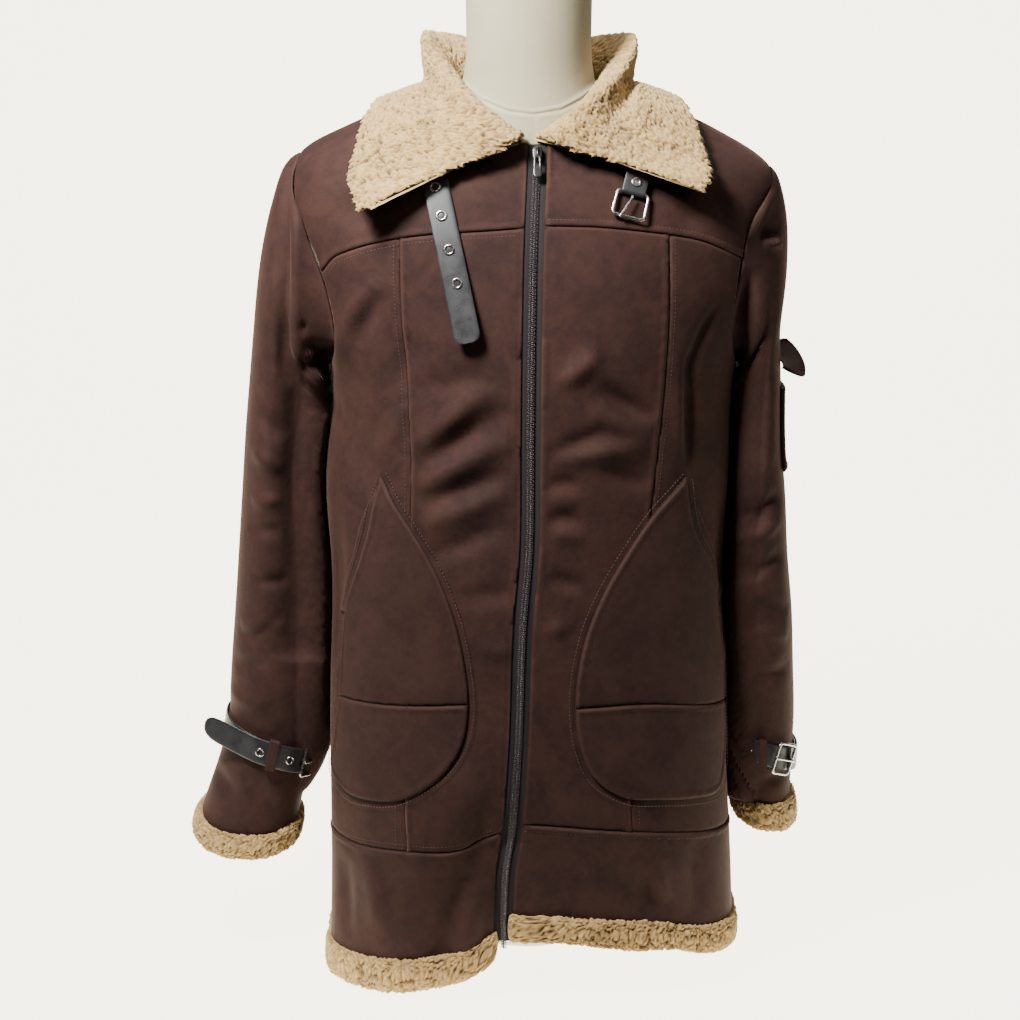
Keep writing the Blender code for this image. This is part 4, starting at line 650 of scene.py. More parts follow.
def curve_through(points, step):
    """Points at equal steps along the smooth curve through the given points."""
    points = np.asarray(points, float)
    length = np.concatenate([[0], np.cumsum(np.linalg.norm(np.diff(points, axis=0), axis=1))])
    at = np.linspace(0, length[-1], max(3, int(np.ceil(length[-1] / step))) + 1)
    return np.stack([smooth(length, points[:, i], at) for i in range(points.shape[1])], 1)


def flat_of(xz, back=False):
    """Points of the front or back view, as points of the flat sheet."""
    xz = np.asarray(xz, float)
    angle, level = place_on_torso(xz[:, 0], xz[:, 1], back)
    return np.stack([angle * MM_PER_DEGREE, level], 1)


def on_sheet(flat):
    """Angle and level of points of the flat sheet."""
    return flat[..., 0] / MM_PER_DEGREE, flat[..., 1]


LINE_STEP = 5.0


def armhole_line(side, table, back):
    """Half an armhole on the sheet. Its two ends lie on the side line, where front and back meet."""
    line = flat_of(curve_through(table[side], LINE_STEP), back)
    edge = 180 if side == RIGHT else 360
    line[[0, -1], 0] = (edge % 360 if back else edge) * MM_PER_DEGREE
    return line


lines = {("tape", offset): flat_of([(x + offset, z) for x, z in curve_through(ZIP_LINE, LINE_STEP)])
         for offset in (-TAPE, 0, TAPE)}
for side in (RIGHT, LEFT):
    for name, table in (("yoke", YOKE_SEAM), ("princess", PRINCESS_SEAM), ("band", BAND_SEAM),
                        ("hem top", HEM_TOP), ("hem bottom", HEM_BOTTOM), ("pocket seam", POCKET_SEAM)):
        lines[name, side] = flat_of(curve_through(table[side], LINE_STEP))
    for name, table in (("pocket", POCKET), ("facing", FACING)):
        lines[name, side] = flat_of(curve_through(table[side] + table[side][:1], LINE_STEP))
    lines["armhole", side] = armhole_line(side, ARMHOLE_FRONT, back=False)
    lines["back armhole", side] = armhole_line(side, ARMHOLE_BACK, back=True)
    lines["back armhole", side][[0, -1], 1] = lines["armhole", side][[0, -1], 1]
for name, table in (("back band", BACK_BAND_SEAM), ("back hem top", BACK_HEM_TOP),
                    ("back hem bottom", BACK_HEM_BOTTOM)):
    lines[name, 0] = flat_of(curve_through(table, LINE_STEP), back=True)
print(len(lines), "lines on the sheet")

# %% Cutting the sheet
NEAR, CLOSE = 9.0, 1.4  # points are close together nearer to a line than NEAR, and none is nearer than CLOSE
FINE_STEP = 2.3


def distance_to_line(points, line):
    """Shortest distance from each point to a row of straight runs: the nearest point of each run is found."""
    best = np.full(len(points), np.inf)
    for a, b in zip(line[:-1], line[1:]):
        run = b - a
        t = np.clip((points - a) @ run / max(run @ run, 1e-9), 0, 1)
        best = np.minimum(best, np.linalg.norm(points - a - t[:, None] * run, axis=1))
    return best


def cut_flat(cuts, low_angle, high_angle):
    """The flat rectangle between two angles, triangulated so that every cut is a row of edges."""
    low, high = low_angle * MM_PER_DEGREE, high_angle * MM_PER_DEGREE
    xs = np.linspace(low, high, int((high - low) / FINE_STEP) // 2 * 2 + 1)
    ys = np.linspace(BOTTOM, TOP, int((TOP - BOTTOM) / FINE_STEP) // 2 * 2 + 1)
    box = [np.stack([np.full(len(ys), x), ys], 1)[::2] for x in (low, high)]
    box += [np.stack([xs, np.full(len(xs), y)], 1)[::2] for y in (BOTTOM, TOP)]
    cuts = box + cuts
    column_number, row_number = np.meshgrid(np.arange(1, len(xs) - 1), np.arange(1, len(ys) - 1))
    grid = np.stack([xs[column_number].ravel(), ys[row_number].ravel()], 1)
    away = np.min([distance_to_line(grid, cut) for cut in cuts], 0)
    even = ((column_number % 2 == 0) & (row_number % 2 == 0)).ravel()
    grid = grid[(away > CLOSE) & (even | (away < NEAR))]
    points, edges = list(map(tuple, grid)), []
    for cut in cuts:
        start = len(points)
        points += list(map(tuple, cut))
        edges += [(start + i, start + i + 1) for i in range(len(cut) - 1)]
    found = delaunay_2d_cdt([Vector(p) for p in points], edges, [], 0, 1e-3)
    flat, faces = np.array([tuple(v) for v in found[0]]), np.array([tuple(f) for f in found[2]])
    corners = flat[faces]
    area = np.cross(corners[:, 1] - corners[:, 0], corners[:, 2] - corners[:, 0])
    faces[area < 0] = faces[area < 0][:, ::-1]
    return flat, faces[np.abs(area) > 1e-4]


def above(line, points):
    """Whether each flat point lies above a line that runs across the sheet."""
    order = np.argsort(line[:, 0])
    return points[:, 1] > np.interp(points[:, 0], line[order, 0], line[order, 1])


def beyond(line, points):
    """Whether each flat point lies at a higher angle than a line that runs up the sheet."""
    order = np.argsort(line[:, 1])
    return points[:, 0] > np.interp(points[:, 1], line[order, 1], line[order, 0])


def inside(line, points):
    """Whether each flat point lies inside a closed line: it does if an odd number of its edges pass above."""
    a, b = line[:-1], line[1:]
    count = np.zeros(len(points), int)
    for (ax, ay), (bx, by) in zip(a, b):
        spans = (ax > points[:, 0]) != (bx > points[:, 0])
        height = ay + (points[:, 0] - ax) * (by - ay) / (bx - ax if bx != ax else 1)
        count += spans & (height > points[:, 1])
    return count % 2 == 1


front_flat, front_faces = cut_flat([line for (name, _), line in lines.items() if "back" not in name], 180,
        360)
back_flat, back_faces = cut_flat([line for (name, _), line in lines.items() if "back" in name], 0, 180)
print(len(front_faces), "facets in front and", len(back_faces), "behind")

# %% [markdown]
# ## Panels and pockets
#
# Each panel is its own thin wall of cloth. Where two panels are sewn together the cloth rolls down into the
# seam, and beside a topstitched seam the allowance underneath lifts a narrow band that ends at the
# stitches. Both follow from one number, the distance to the seam, which is also stored on the piece as the
# attribute "seam", so that the suede can be rubbed lighter along its edges and painted darker in the seam's
# valley, as painted shade.

# %% Relief beside a seam
WALL, PUFF_REACH = 3.0, 14
ROLL, ROLL_DEPTH = 2.8, 1.6
STITCH_AT, STITCH_DIP, STITCH_WIDTH, BAND_RISE = 6.0, 0.8, 1.1, 1.1
BAND_SOFT, FAR = 0.6, 99.0  # how soon the band ends, and a distance that has no effect


def seam_relief(away, stitched):
    """−depth × (1 − d ÷ roll)² at every seam. A stitched one adds a band, and a bell-shaped dip at the
    stitches."""
    relief = -ROLL_DEPTH * np.clip(1 - away / ROLL, 0, 1) ** 2
    band = BAND_RISE / (1 + np.exp(np.clip((stitched - STITCH_AT) / BAND_SOFT, -30, 30)))
    return relief + band - STITCH_DIP * np.exp(-(((stitched - STITCH_AT) / STITCH_WIDTH) ** 2))


def triangles(faces):
    """Four-cornered faces as triangles, and triangles as they are."""
    return np.concatenate([faces[:, [0, 1, 2]], faces[:, [0, 2, 3]]]) if faces.shape[1] == 4 else faces


def rim_of(faces, shift):
    """Triangles that join each open edge of a sheet to the same edge of its copy, shift points further on."""
    ends = np.concatenate([faces[:, [i, (i + 1) % 3]] for i in range(3)])
    known = set(map(tuple, ends))
    a, b = np.array([edge for edge in known if edge[::-1] not in known]).T
    return np.concatenate([np.stack([b, a, a + shift], 1), np.stack([b, a + shift, b + shift], 1)])


def make_wall(name, outer, inner, faces, finish, seam=None):
    """A closed wall between two sheets that share their faces."""
    outer, inner, faces = outer.reshape(-1, 3), inner.reshape(-1, 3), triangles(faces)
    whole = np.concatenate([faces, faces[:, ::-1] + len(outer), rim_of(faces, len(outer))])
    piece = make_piece(name, np.concatenate([outer, inner]), whole, finish)
    piece.data.set_sharp_from_angle(angle=np.radians(60))
    if seam is not None:
        add_attribute(piece, "seam", np.tile(np.ravel(seam), 2))
    return piece


def in_space(line):
    return torso(*on_sheet(line))


def closed(line):
    return np.concatenate([line, line[:1]])


def lay_panel(node, cut, mask, low, high, finish, rolled, stitched=(), puff=0.0):
    """The masked facets as a wall from low to high above the body, with creases and seam relief."""
    flat, faces = cut
    keep, index = np.unique(faces[mask], return_inverse=True)
    angle, level = on_sheet(flat[keep])
    surface, normal = torso(angle, level), torso_normal(angle, level)
    away = np.min([distance_to_line(surface, in_space(line)) for line in rolled], 0)
    stitches = [distance_to_line(surface, in_space(line)) for line in stitched]
    to_stitches = np.min(stitches, 0) if stitches else np.full(len(keep), FAR)
    creases = body_creases(angle, level)
    height = high + creases + seam_relief(away, to_stitches) + puff * (1 - np.exp(-away / PUFF_REACH))
    outer = surface + normal * height[:, None]
    inner = surface + normal * (low + creases)[:, None]
    piece = make_wall(f"{node}_cloth", outer, inner, index.reshape(-1, 3), finish, away)
    dress(piece, node)
    panels[node] = piece


# %% Front panels, zip tapes and pockets
POCKET_OUT, POCKET_THICK, FACING_THICK, POCKET_PUFF = 0.6, 2.6, 1.6, 1.2
TAPE_LOW, TAPE_HIGH = -3.0, -2.1
TAPE_END = 76  # the level at which the tapes stop, behind the fleece
panels = {}
middle = front_flat[front_faces].mean(1)
tape = beyond(lines["tape", -TAPE], middle) & ~beyond(lines["tape", TAPE], middle)
for side in (RIGHT, LEFT):
    word, cut = SIDE_NAMES[side], (front_flat, front_faces)
    placket = lines["tape", side * TAPE]
    side_line = np.array([[(180 if side == RIGHT else 360) * MM_PER_DEGREE, level] for level in (0, 300,
            610)])
    mine = beyond(lines["tape", 0], middle) == (side == LEFT)
    on_body = mine & ~inside(closed(lines["armhole", side]), middle) & above(lines["hem bottom", side],
            middle)
    cloth = on_body & ~tape
    yoke, band = above(lines["yoke", side], middle), ~above(lines["band", side], middle)
    trim = ~above(lines["hem top", side], middle)
    outer = beyond(lines["princess", side], middle) == (side == LEFT)
    seams = [lines[name, side] for name in ("yoke", "princess", "band", "hem top", "armhole")]
    seams += [placket, side_line]
    for name, mask, rolled, stitched in (
        ("front_yoke", cloth & yoke, [seams[0], seams[4], placket], [lines["yoke", side], placket]),
        ("front_centre", cloth & ~yoke & ~band & ~outer, seams, [placket, lines["princess", side]]),
        ("front_side", cloth & ~yoke & ~band & outer, seams, []),
        ("hem_band", cloth & band & ~trim, [seams[2], seams[3], side_line, placket], [lines["band", side],
                placket]),
    ):
        lay_panel(f"{name}_{word}", cut, mask, -WALL, 0, suede, rolled, stitched)
    no_seam = lines["yoke", side] + 500  # a line far above, as the tapes have no seam on them
    lay_panel(f"zip_tape_{word}", cut, on_body & tape & (middle[:, 1] > TAPE_END), TAPE_LOW, TAPE_HIGH,
              tape_cloth, [no_seam])
    in_pocket, high_up = inside(lines["pocket", side], middle), above(lines["pocket seam", side], middle)
    edges = [lines["pocket", side], lines["pocket seam", side]]
    for name, mask, stitched in (("pocket_upper", in_pocket & high_up, edges[:1]),
                                 ("pocket_lower", in_pocket & ~high_up, edges)):
        lay_panel(f"{name}_{word}", cut, mask, POCKET_OUT, POCKET_OUT + POCKET_THICK, pocket_suede, edges,
                stitched,
                  puff=POCKET_PUFF)
    facing = inside(lines["facing", side], middle) & ~in_pocket
    lay_panel(f"pocket_facing_{word}", cut, facing, POCKET_OUT, POCKET_OUT + FACING_THICK, suede,
              [lines["facing", side]])
print(len(panels), "panels in front")

# %% Back panels
middle = back_flat[back_faces].mean(1)
cloth = above(lines["back hem bottom", 0], middle)
for side in (RIGHT, LEFT):
    cloth &= ~inside(closed(lines["back armhole", side]), middle)
over_trim, over_band = above(lines["back hem top", 0], middle), above(lines["back band", 0], middle)
seams = [lines["back band", 0], lines["back hem top", 0]]
seams += [lines["back armhole", RIGHT], lines["back armhole", LEFT]]
seams += [np.array([[angle * MM_PER_DEGREE, level] for level in (0, 300, 600)]) for angle in (0, 180)]
cut = (back_flat, back_faces)
lay_panel("back_panel", cut, cloth & over_band, -WALL, 0, suede, seams)
lay_panel("hem_band_back", cut, cloth & over_trim & ~over_band, -WALL, 0, suede, seams, seams[:1])
print(len(panels), "panels in all,", sum(len(piece.data.polygons) for piece in panels.values()), "facets")

# %% [markdown]
# ## Topstitching
#
# Each stitch is a short bar of thread with pointed ends that dip into the cloth. The row runs beside a seam
# at a fixed distance: the seam's points are moved sideways in the cloth, which is the cross product of the
# cloth's normal and the seam's direction, and stitches are then set along them at the machine's spacing.

# %% Copies of a small shape along a line
STITCH_PITCH, THREAD = 3.6, 0.42
STITCH_STATIONS = ((-1.35, 0), (-0.8, 1), (0.8, 1), (1.35, 0))
thread = new_material("suede thread", "3a2822", 0.6)
place = object_place(thread)
twist = add_node(thread, "TexWave", {"bands_direction": "DIAGONAL"}, Vector=place, Scale=per_mm(3.0))
join(thread, blend_colours(thread, twist.outputs[1], "33231e", "453129").outputs[0], "Base Color")
join(thread, bump(thread, twist.outputs[1], 0.5, 0.1), "Normal")


def bead(stations, sides, wide, high):
    """A small closed shape along x, from (x, size) stations. The first and last have size 0."""
    turn = np.arange(sides) * 2 * np.pi / sides
    points = [(x, size * wide * np.cos(a), size * high * np.sin(a)) for x,
            size in stations[1:-1] for a in turn]
    points += [(stations[0][0], 0, 0), (stations[-1][0], 0, 0)]
    count, i = len(stations) - 2, np.arange(sides)
    j = (i + 1) % sides
    faces = [np.stack([i, j, np.full(sides, count * sides)], 1)]
    for r in range(count - 1):
        low, high_row = r * sides, (r + 1) * sides
        faces += [np.stack([low + j, low + i, high_row + i], 1),
                np.stack([low + j, high_row + i, high_row + j], 1)]
    last = (count - 1) * sides
    faces.append(np.stack([last + j, last + i, np.full(sides, count * sides + 1)], 1))
    return np.array(points), np.concatenate(faces)


def copies(shape, origins, *axes):
    """A small shape at each origin, its x, y and z along the three axes there."""
    points, faces = shape
    placed = origins[:, None] + sum(points[None, :, i, None] * axis[:, None] for i, axis in enumerate(axes))
    shift = np.arange(len(origins))[:, None, None] * len(points)
    return placed.reshape(-1, 3), (faces[None] + shift).reshape(-1, 3)


def joined(parts):
    """Several (points, faces) as one pair."""
    shifts = np.cumsum([0] + [len(points) for points, _ in parts])
    return (np.concatenate([points for points, _ in parts]),
            np.concatenate([faces + shift for (_, faces), shift in zip(parts, shifts)]))


def unit(vectors):
    return vectors / (np.linalg.norm(vectors, axis=-1, keepdims=True) + 1e-9)


def along_line(points, normals, pitch):
    """Places at an equal pitch along a line of points: origin, direction, sideways and up at each."""
    length = np.concatenate([[0], np.cumsum(np.linalg.norm(np.diff(points, axis=0), axis=1))])
    at = np.arange(pitch / 2, length[-1] - pitch / 2, pitch)

    def read(values, where):
        return np.stack([np.interp(where, length, values[:, i]) for i in range(3)], 1)

    ahead = unit(read(points, at + 0.8) - read(points, at - 0.8))
    up = unit(read(normals, at))
    side = unit(np.cross(up, ahead))
    return read(points, at), ahead, side, np.cross(ahead, side)


# %% Rows of stitches
SINK = 0.1


def beside(line, distance, high, back=False):
    """A seam's points moved sideways in the cloth, at this height above the body, and the normals there."""
    points, normal = torso(*on_sheet(line)), torso_normal(*on_sheet(line))
    moved = points + np.cross(normal, unit(np.gradient(points, axis=0))) * distance
    angle, level = place_on_torso(moved[:, 0], moved[:, 2], back)
    up = torso_normal(angle, level)
    return torso(angle, level) + up * (high + body_creases(angle, level))[:, None], up


def stitch_row(points, normals):
    return copies(bead(STITCH_STATIONS, 4, THREAD, THREAD), *along_line(points, normals, STITCH_PITCH))


PRINCESS_SPLIT, PLACKET_TOP = 400, 960  # levels where the princess row is split and the placket's row ends
rows, low = [], BAND_RISE / 2 - STITCH_DIP + SINK
on_pocket = low + POCKET_OUT + POCKET_THICK + 0.4
for side in (RIGHT, LEFT):
    princess, placket = lines["princess", side], lines["tape", TAPE * side]
    clear = ~inside(lines["pocket", side], princess) & ~inside(lines["facing", side], princess)
    princess = princess[clear & ~above(lines["yoke", side], princess) & above(lines["band", side], princess)]
    upper = princess[:, 1] > PRINCESS_SPLIT
    yoke, band = (
        lines[name, side][beyond(placket, lines[name, side]) == (side == LEFT)] for name in ("yoke", "band")
    )
    placket = placket[above(lines["hem top", side], placket) & (placket[:, 1] < PLACKET_TOP)]
    stitched = ((yoke, -STITCH_AT, low), (band, STITCH_AT, low), (princess[upper], STITCH_AT * side, low),
                (princess[~upper], STITCH_AT * side, low), (placket, -STITCH_AT * side, low),
                (lines["pocket", side], -STITCH_AT * side, on_pocket))
    rows += [stitch_row(*beside(line, distance, high)) for line, distance, high in stitched if len(line) > 2]
rows.append(stitch_row(*beside(lines["back band", 0], -STITCH_AT, low, back=True)))
topstitching = make_piece("topstitching", *joined(rows), thread)
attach(topstitching, "root")
print(len(topstitching.data.polygons), "facets of thread")

# %% [markdown]
# ## Sleeves
#
# A sleeve is a tube. Each row of its table is a slanted oval, given by its outer and inner point and its
# reach to the front and back. The first rings blend from the armhole's own loop into the ovals, so the
# sleeve leaves the body along its seam. The arms hang free, so the inside of each elbow folds deeply, and
# soft creases run slantwise from it.

# %% Sleeve surface
SLEEVE_COLUMNS = ("ring", "out_x", "out_z", "in_x", "in_z", "front", "back", "drop")
SLEEVE_ROWS = {
    RIGHT: (
        (0, -223, 803, -192, 600, -112, 32, 0),
        (1, -246, 784, -200, 594, -110, 38, 0),
        (2, -254, 745, -203, 582, -106, 46, 0),
        (3, -261, 700, -205, 564, -102, 52, 0),
        (4, -267, 645, -205, 540, -100, 56, 0),
        (5, -273, 588, -205, 508, -100, 57, 0),
        (6, -279, 530, -205, 470, -100, 57, 0),
        (7, -284, 470, -204, 425, -100, 56, 0),
        (8, -289, 410, -203, 378, -99, 53, 0),
        (9, -294, 350, -202, 330, -98, 46, 0),
        (10, -299, 292, -203, 282, -96, 36, 0),
        (11, -302, 245, -210, 238, -93, 25, 0),
        (12, -312, 202, -220, 195, -91, 16, 4),
        (13, -330, 150, -232, 145, -91, 12, 9),
        (14, -338, 122, -237, 116, -93, 10, 14),
    ),
    LEFT: (
        (0, 235, 790, 201, 600, -106, 34, 0),
        (1, 246, 775, 213, 597, -102, 40, 0),
        (2, 253, 738, 214, 584, -98, 48, 0),
        (3, 252, 695, 211, 564, -94, 54, 0),
        (4, 246, 642, 208, 540, -92, 58, 0),
        (5, 248, 586, 206, 508, -92, 60, 0),
        (6, 250, 530, 204, 470, -92, 60, 0),
        (7, 256, 470, 202, 425, -91, 58, 0),
        (8, 260, 410, 201, 378, -90, 54, 0),
        (9, 266, 350, 201, 328, -88, 48, 0),
        (10, 269, 292, 202, 280, -84, 40, 0),
        (11, 271, 245, 205, 235, -80, 30, 0),
        (12, 270, 202, 209, 200, -76, 22, 2),
        (13, 269, 160, 212, 164, -73, 17, 6),
        (14, 272, 132, 214, 140, -73, 15, 9),
    ),
}
SLEEVE_END = 14
CUFF_TRIM_RING = {RIGHT: 13.25, LEFT: 13.05}
BLEND_RINGS, SLEEVE_SQUARE = 4.0, 2.2
SLEEVE_FOLD_COLUMNS = ("angle", "first", "last", "width", "height")
SLEEVE_FOLDS = {
    RIGHT: ((112, 3, 9.5, 24, -15), (60, 6, 9.5, 26, -4), (150, 1.5, 4, 20, -5)),
    LEFT: ((120, 2, 8, 26, -7), (75, 6, 9.5, 22, -4)),
}
armhole_loops = {}
for side in (RIGHT, LEFT):
    halves = []
    for name in ("armhole", "back armhole"):
        line = lines[name, side]
        share = np.linspace(0, 1, len(line))
        fine = np.stack([np.interp(np.linspace(0, 1, 73), share, line[:, i]) for i in (0, 1)], 1)
        halves.append(torso(*on_sheet(fine)))
    armhole_loops[side] = np.concatenate([halves[0], halves[1][::-1][1:]])


def sleeve_oval(side, turn, ring):
    """Inner point to outer point by (1 + cos(turn)) ÷ 2, and front to back by sin(turn), both to the power
    2/square."""
    row = {n: column(SLEEVE_ROWS[side], SLEEVE_COLUMNS, n, ring) for n in SLEEVE_COLUMNS[1:]}
    across, along = np.cos(np.radians(turn)), np.sin(np.radians(turn))
    outer = np.stack([row["out_x"], np.zeros_like(ring), row["out_z"]], -1)
    inner = np.stack([row["in_x"], np.zeros_like(ring), row["in_z"]], -1)
    share = (1 + power(across, 2 / SLEEVE_SQUARE)) / 2
    points = outer * share[..., None] + inner * (1 - share)[..., None]
    middle = (row["front"] + row["back"]) / 2
    points[..., 1] = middle - (row["back"] - row["front"]) / 2 * power(along, 2 / SLEEVE_SQUARE)
    points[..., 2] -= row["drop"] * along
    return points


def sleeve(side, turn, ring):
    """The sleeve: turn runs round it, 0 outer, 90 front and 180 inner, and ring runs down it."""
    turn, ring = np.broadcast_arrays(np.asarray(turn, float), np.asarray(ring, float))
    points = sleeve_oval(side, turn, ring)
    loop = armhole_loops[side]
    around = np.linspace(0, 360, len(loop))
    start = np.stack([np.interp(turn % 360, around, loop[:, i]) for i in range(3)], -1)
    share = np.clip(ring / BLEND_RINGS, 0, 1)
    share = (share * (2 - share))[..., None]
    points = start * (1 - share) + points * share
    middle = (sleeve_oval(side, turn * 0, ring) + sleeve_oval(side, turn * 0 + 180, ring)) / 2
    out = points - middle
    out[..., 2] = 0
    out /= np.linalg.norm(out, axis=-1, keepdims=True) + 1e-6
    for row in SLEEVE_FOLDS[side]:
        fold = dict(zip(SLEEVE_FOLD_COLUMNS, row))
        length = np.clip((ring - fold["first"]) * (fold["last"] - ring), 0, None)
        away = (turn - fold["angle"] + 180) % 360 - 180
        push = fold["height"] * np.exp(-((away / fold["width"]) ** 2)) * length / (length + 1)
        points += push[..., None] * out
    return points


def sleeve_normal(side, turn, ring):
    """Outward normals. The turn runs the other way round on the wearer's left, so the sign changes there."""
    return normals_of(lambda a, b: sleeve(side, a, b), turn, np.maximum(ring, 0.35), 4.0, 0.3) * side


# %% Sleeve creases
SLEEVE_CREASES = {
    RIGHT: (
        # the fold down the front of the upper arm and the valley outside it
        (-217, 801, -223, 600, 0, 9, 2.2), (-226, 778, -232, 581, 0, 7, -4.0), (-220, 599, -180, 618, -1, 6,
                -3.5),
        (-209, 568, -185, 569, 0, 9, -3.0), (-219, 636, -208, 645, 0, 4, -1.2), (-215, 621, -180, 619, 0, 5,
                -1.5),
        # the elbow and the forearm
        (-273, 441, -239, 441, 2, 6, -1.5), (-271, 391, -234, 391, 0, 7, -1.8), (-284, 343, -235, 350, 0, 7,
                1.6),
        (-281, 329, -237, 357, 0, 6, -1.8), (-269, 469, -238, 474, 0, 6, 1.3), (-262, 560, -236, 530, 2, 9,
                -1.8),
        (-266, 520, -238, 500, 2, 8, 1.5), (-292, 300, -248, 312, 2, 7, -1.4), (-300, 272, -252, 268, -2, 8,
                1.5),
        (-246, 700, -232, 640, 3, 9, 1.2), (-318, 190, -292, 166, 2, 9, -1.6), (-280, 178, -250, 158, 2, 9,
                -1.5),
    ),
    LEFT: (
        (229, 769, 203, 720, 0, 7, 1.8), (215, 728, 238, 728, 0, 6, -2.2), (219, 718, 240, 720, 0, 5, 1.8),
        (209, 700, 195, 604, 0, 7, -4.0), (194, 628, 196, 521, 0, 7, -3.5), (219, 675, 210, 551, 0, 7, 1.6),
        (244, 480, 214, 452, 3, 8, -2.2), (246, 452, 212, 430, 2, 7, 1.7), (250, 420, 214, 396, 3, 8, -1.9),
        (256, 352, 216, 366, -3, 8, -1.7), (258, 330, 220, 340, -2, 7, 1.5), (260, 300, 218, 292, 3, 8, -1.6),
        (262, 190, 228, 176, 2, 8, -1.5),
    ),
}
SLEEVE_BACK_CREASES = {
    RIGHT: ((-262, 640, -216, 600, 4, 11, -2.4), (-266, 600, -218, 560, 4, 9, 1.8), (-276, 500, -224, 520,
            -4, 11, -2.6),
            (-280, 450, -222, 470, -4, 9, 1.9), (-286, 400, -226, 380, 4, 10, -2.0), (-292, 330, -232, 344,
                    -3, 9, 1.6),
            (-298, 280, -240, 268, 3, 10, -1.8)),
    LEFT: ((246, 650, 216, 606, -4, 10, -2.3), (248, 600, 214, 566, -3, 9, 1.7), (248, 510, 212, 528, 4, 11,
            -2.5),
           (252, 462, 210, 480, 4, 9, 1.8), (258, 392, 212, 380, -4, 10, -2.1), (262, 320, 214, 336, 3, 9,
                   1.5),
           (264, 262, 216, 254, -3, 9, -1.7)),
}


def sleeve_creases(side, turn, ring):
    """Height of the creases on a sleeve, from its front table where it faces front and its back table
    behind."""
    points, along = sleeve(side, turn, ring), np.sin(np.radians(turn))
    front = crease_height(points[..., 0], points[..., 2], SLEEVE_CREASES[side]) * np.clip(3 * along, 0, 1)
    back = crease_height(points[..., 0], points[..., 2], SLEEVE_BACK_CREASES[side]) * np.clip(-3 * along, 0,
            1)
    return front + back


# %% Where a sleeve rests against the body
REST_REACH, REST_CLEAR = 34.0, 0.9


def resting(side, points, normal):
    """How far to push the sleeve towards the body, so that it rests on it wherever it hangs within its
    reach."""
    first = 100 if side == RIGHT else -80
    angle, level = np.meshgrid(np.arange(first, first + 160, 1.0), np.arange(180, 640, 3.0))
    body = torso(angle % 360, level).reshape(-1, 3)
    tree = KDTree(len(body))
    for i, point in enumerate(body):
        tree.insert(point, i)
    tree.balance()
    flat = points.reshape(-1, 3)
    found = [tree.find(point) for point in flat]
    away = np.array([distance for _, _, distance in found])
    towards = np.array([body[i] for _, i, _ in found]) - flat
    facing = np.clip((towards * normal.reshape(-1, 3)).sum(1) / (away + 1e-6), 0, 1)
    push = np.clip(away - REST_CLEAR, 0, None) * facing * np.clip((REST_REACH - away) / 16, 0, 1)
    return push.reshape(points.shape[:-1])


# %% Sleeve pieces
SLEEVE_TURN_STEP, SLEEVE_RING_STEP = 2.8125, 0.062
sleeves = {}
for side in (RIGHT, LEFT):
    word, end = SIDE_NAMES[side], CUFF_TRIM_RING[side]
    rings = np.concatenate([[0, 0.02, 0.05, 0.1, 0.16, 0.23], np.arange(0.32, end - 0.03, SLEEVE_RING_STEP),
                            [end - 0.01]])
    turns, at = np.meshgrid(np.arange(0, 360, SLEEVE_TURN_STEP), rings, indexing="ij")
    surface, normal = sleeve(side, turns, at), sleeve_normal(side, turns, at)
    step = np.linalg.norm(np.diff(surface, axis=1), axis=-1)
    along = np.concatenate([np.zeros((len(turns), 1)), np.cumsum(step, 1)], 1)
    seam = np.minimum(along, along[:, -1:] - along)
    height = sleeve_creases(side, turns, at) + seam_relief(seam, FAR) + resting(side, surface, normal)
    outer, inner = surface + normal * height[..., None], surface + normal * (height[..., None] - WALL)
    sleeves[side] = make_wall(f"sleeve_{word}_cloth", outer, inner, grid_faces(*turns.shape, wrap=True),
            suede, seam)
    dress(sleeves[side], f"sleeve_{word}")
print("sleeves of", len(sleeves[LEFT].data.polygons), "facets each")

# %% [markdown]
# ## Fleece
#
# The pile has curled into locks of 3 to 6 mm. A bump alone would leave its outline smooth, so the locks are
# shapes: every point is pushed out by a lattice of jittered centres, one in each cell. A point is highest
# at a centre and lowest half way between two, which gives rounded locks with narrow cracks. Lattices of
# several sizes are added. The points are first bent by slow sine waves, so that the locks curl and don't
# look like pebbles.

# %% Locks of pile


def scatter(cells, salt):
    """Three numbers from 0 to 1 for each lattice cell: the fraction of a large multiple of the sine of its
    index."""
    mixed = cells @ np.array([[127.1, 269.5, 419.2], [311.7, 183.3, 371.9], [74.7, 246.1, 113.5]]) + salt
    return np.abs(np.modf(np.sin(mixed) * 43758.5453)[0])


def cells(points, size, salt=0.0):
    """Distances to the nearest and second nearest centre, with one centre in each lattice cell of that
    size."""
    points = points / size
    cell = np.floor(points)
    near, after = np.full(points.shape[:-1], 9.0), np.full(points.shape[:-1], 9.0)
    for shift in np.stack(np.meshgrid(*[[-1, 0, 1]] * 3, indexing="ij"), -1).reshape(-1, 3):
        centre = cell + shift + 0.15 + 0.7 * scatter(cell + shift, salt)
        found = np.sqrt(((points - centre) ** 2).sum(-1))
        after = np.minimum(after, np.maximum(near, found))
        near = np.minimum(near, found)
    return near, after


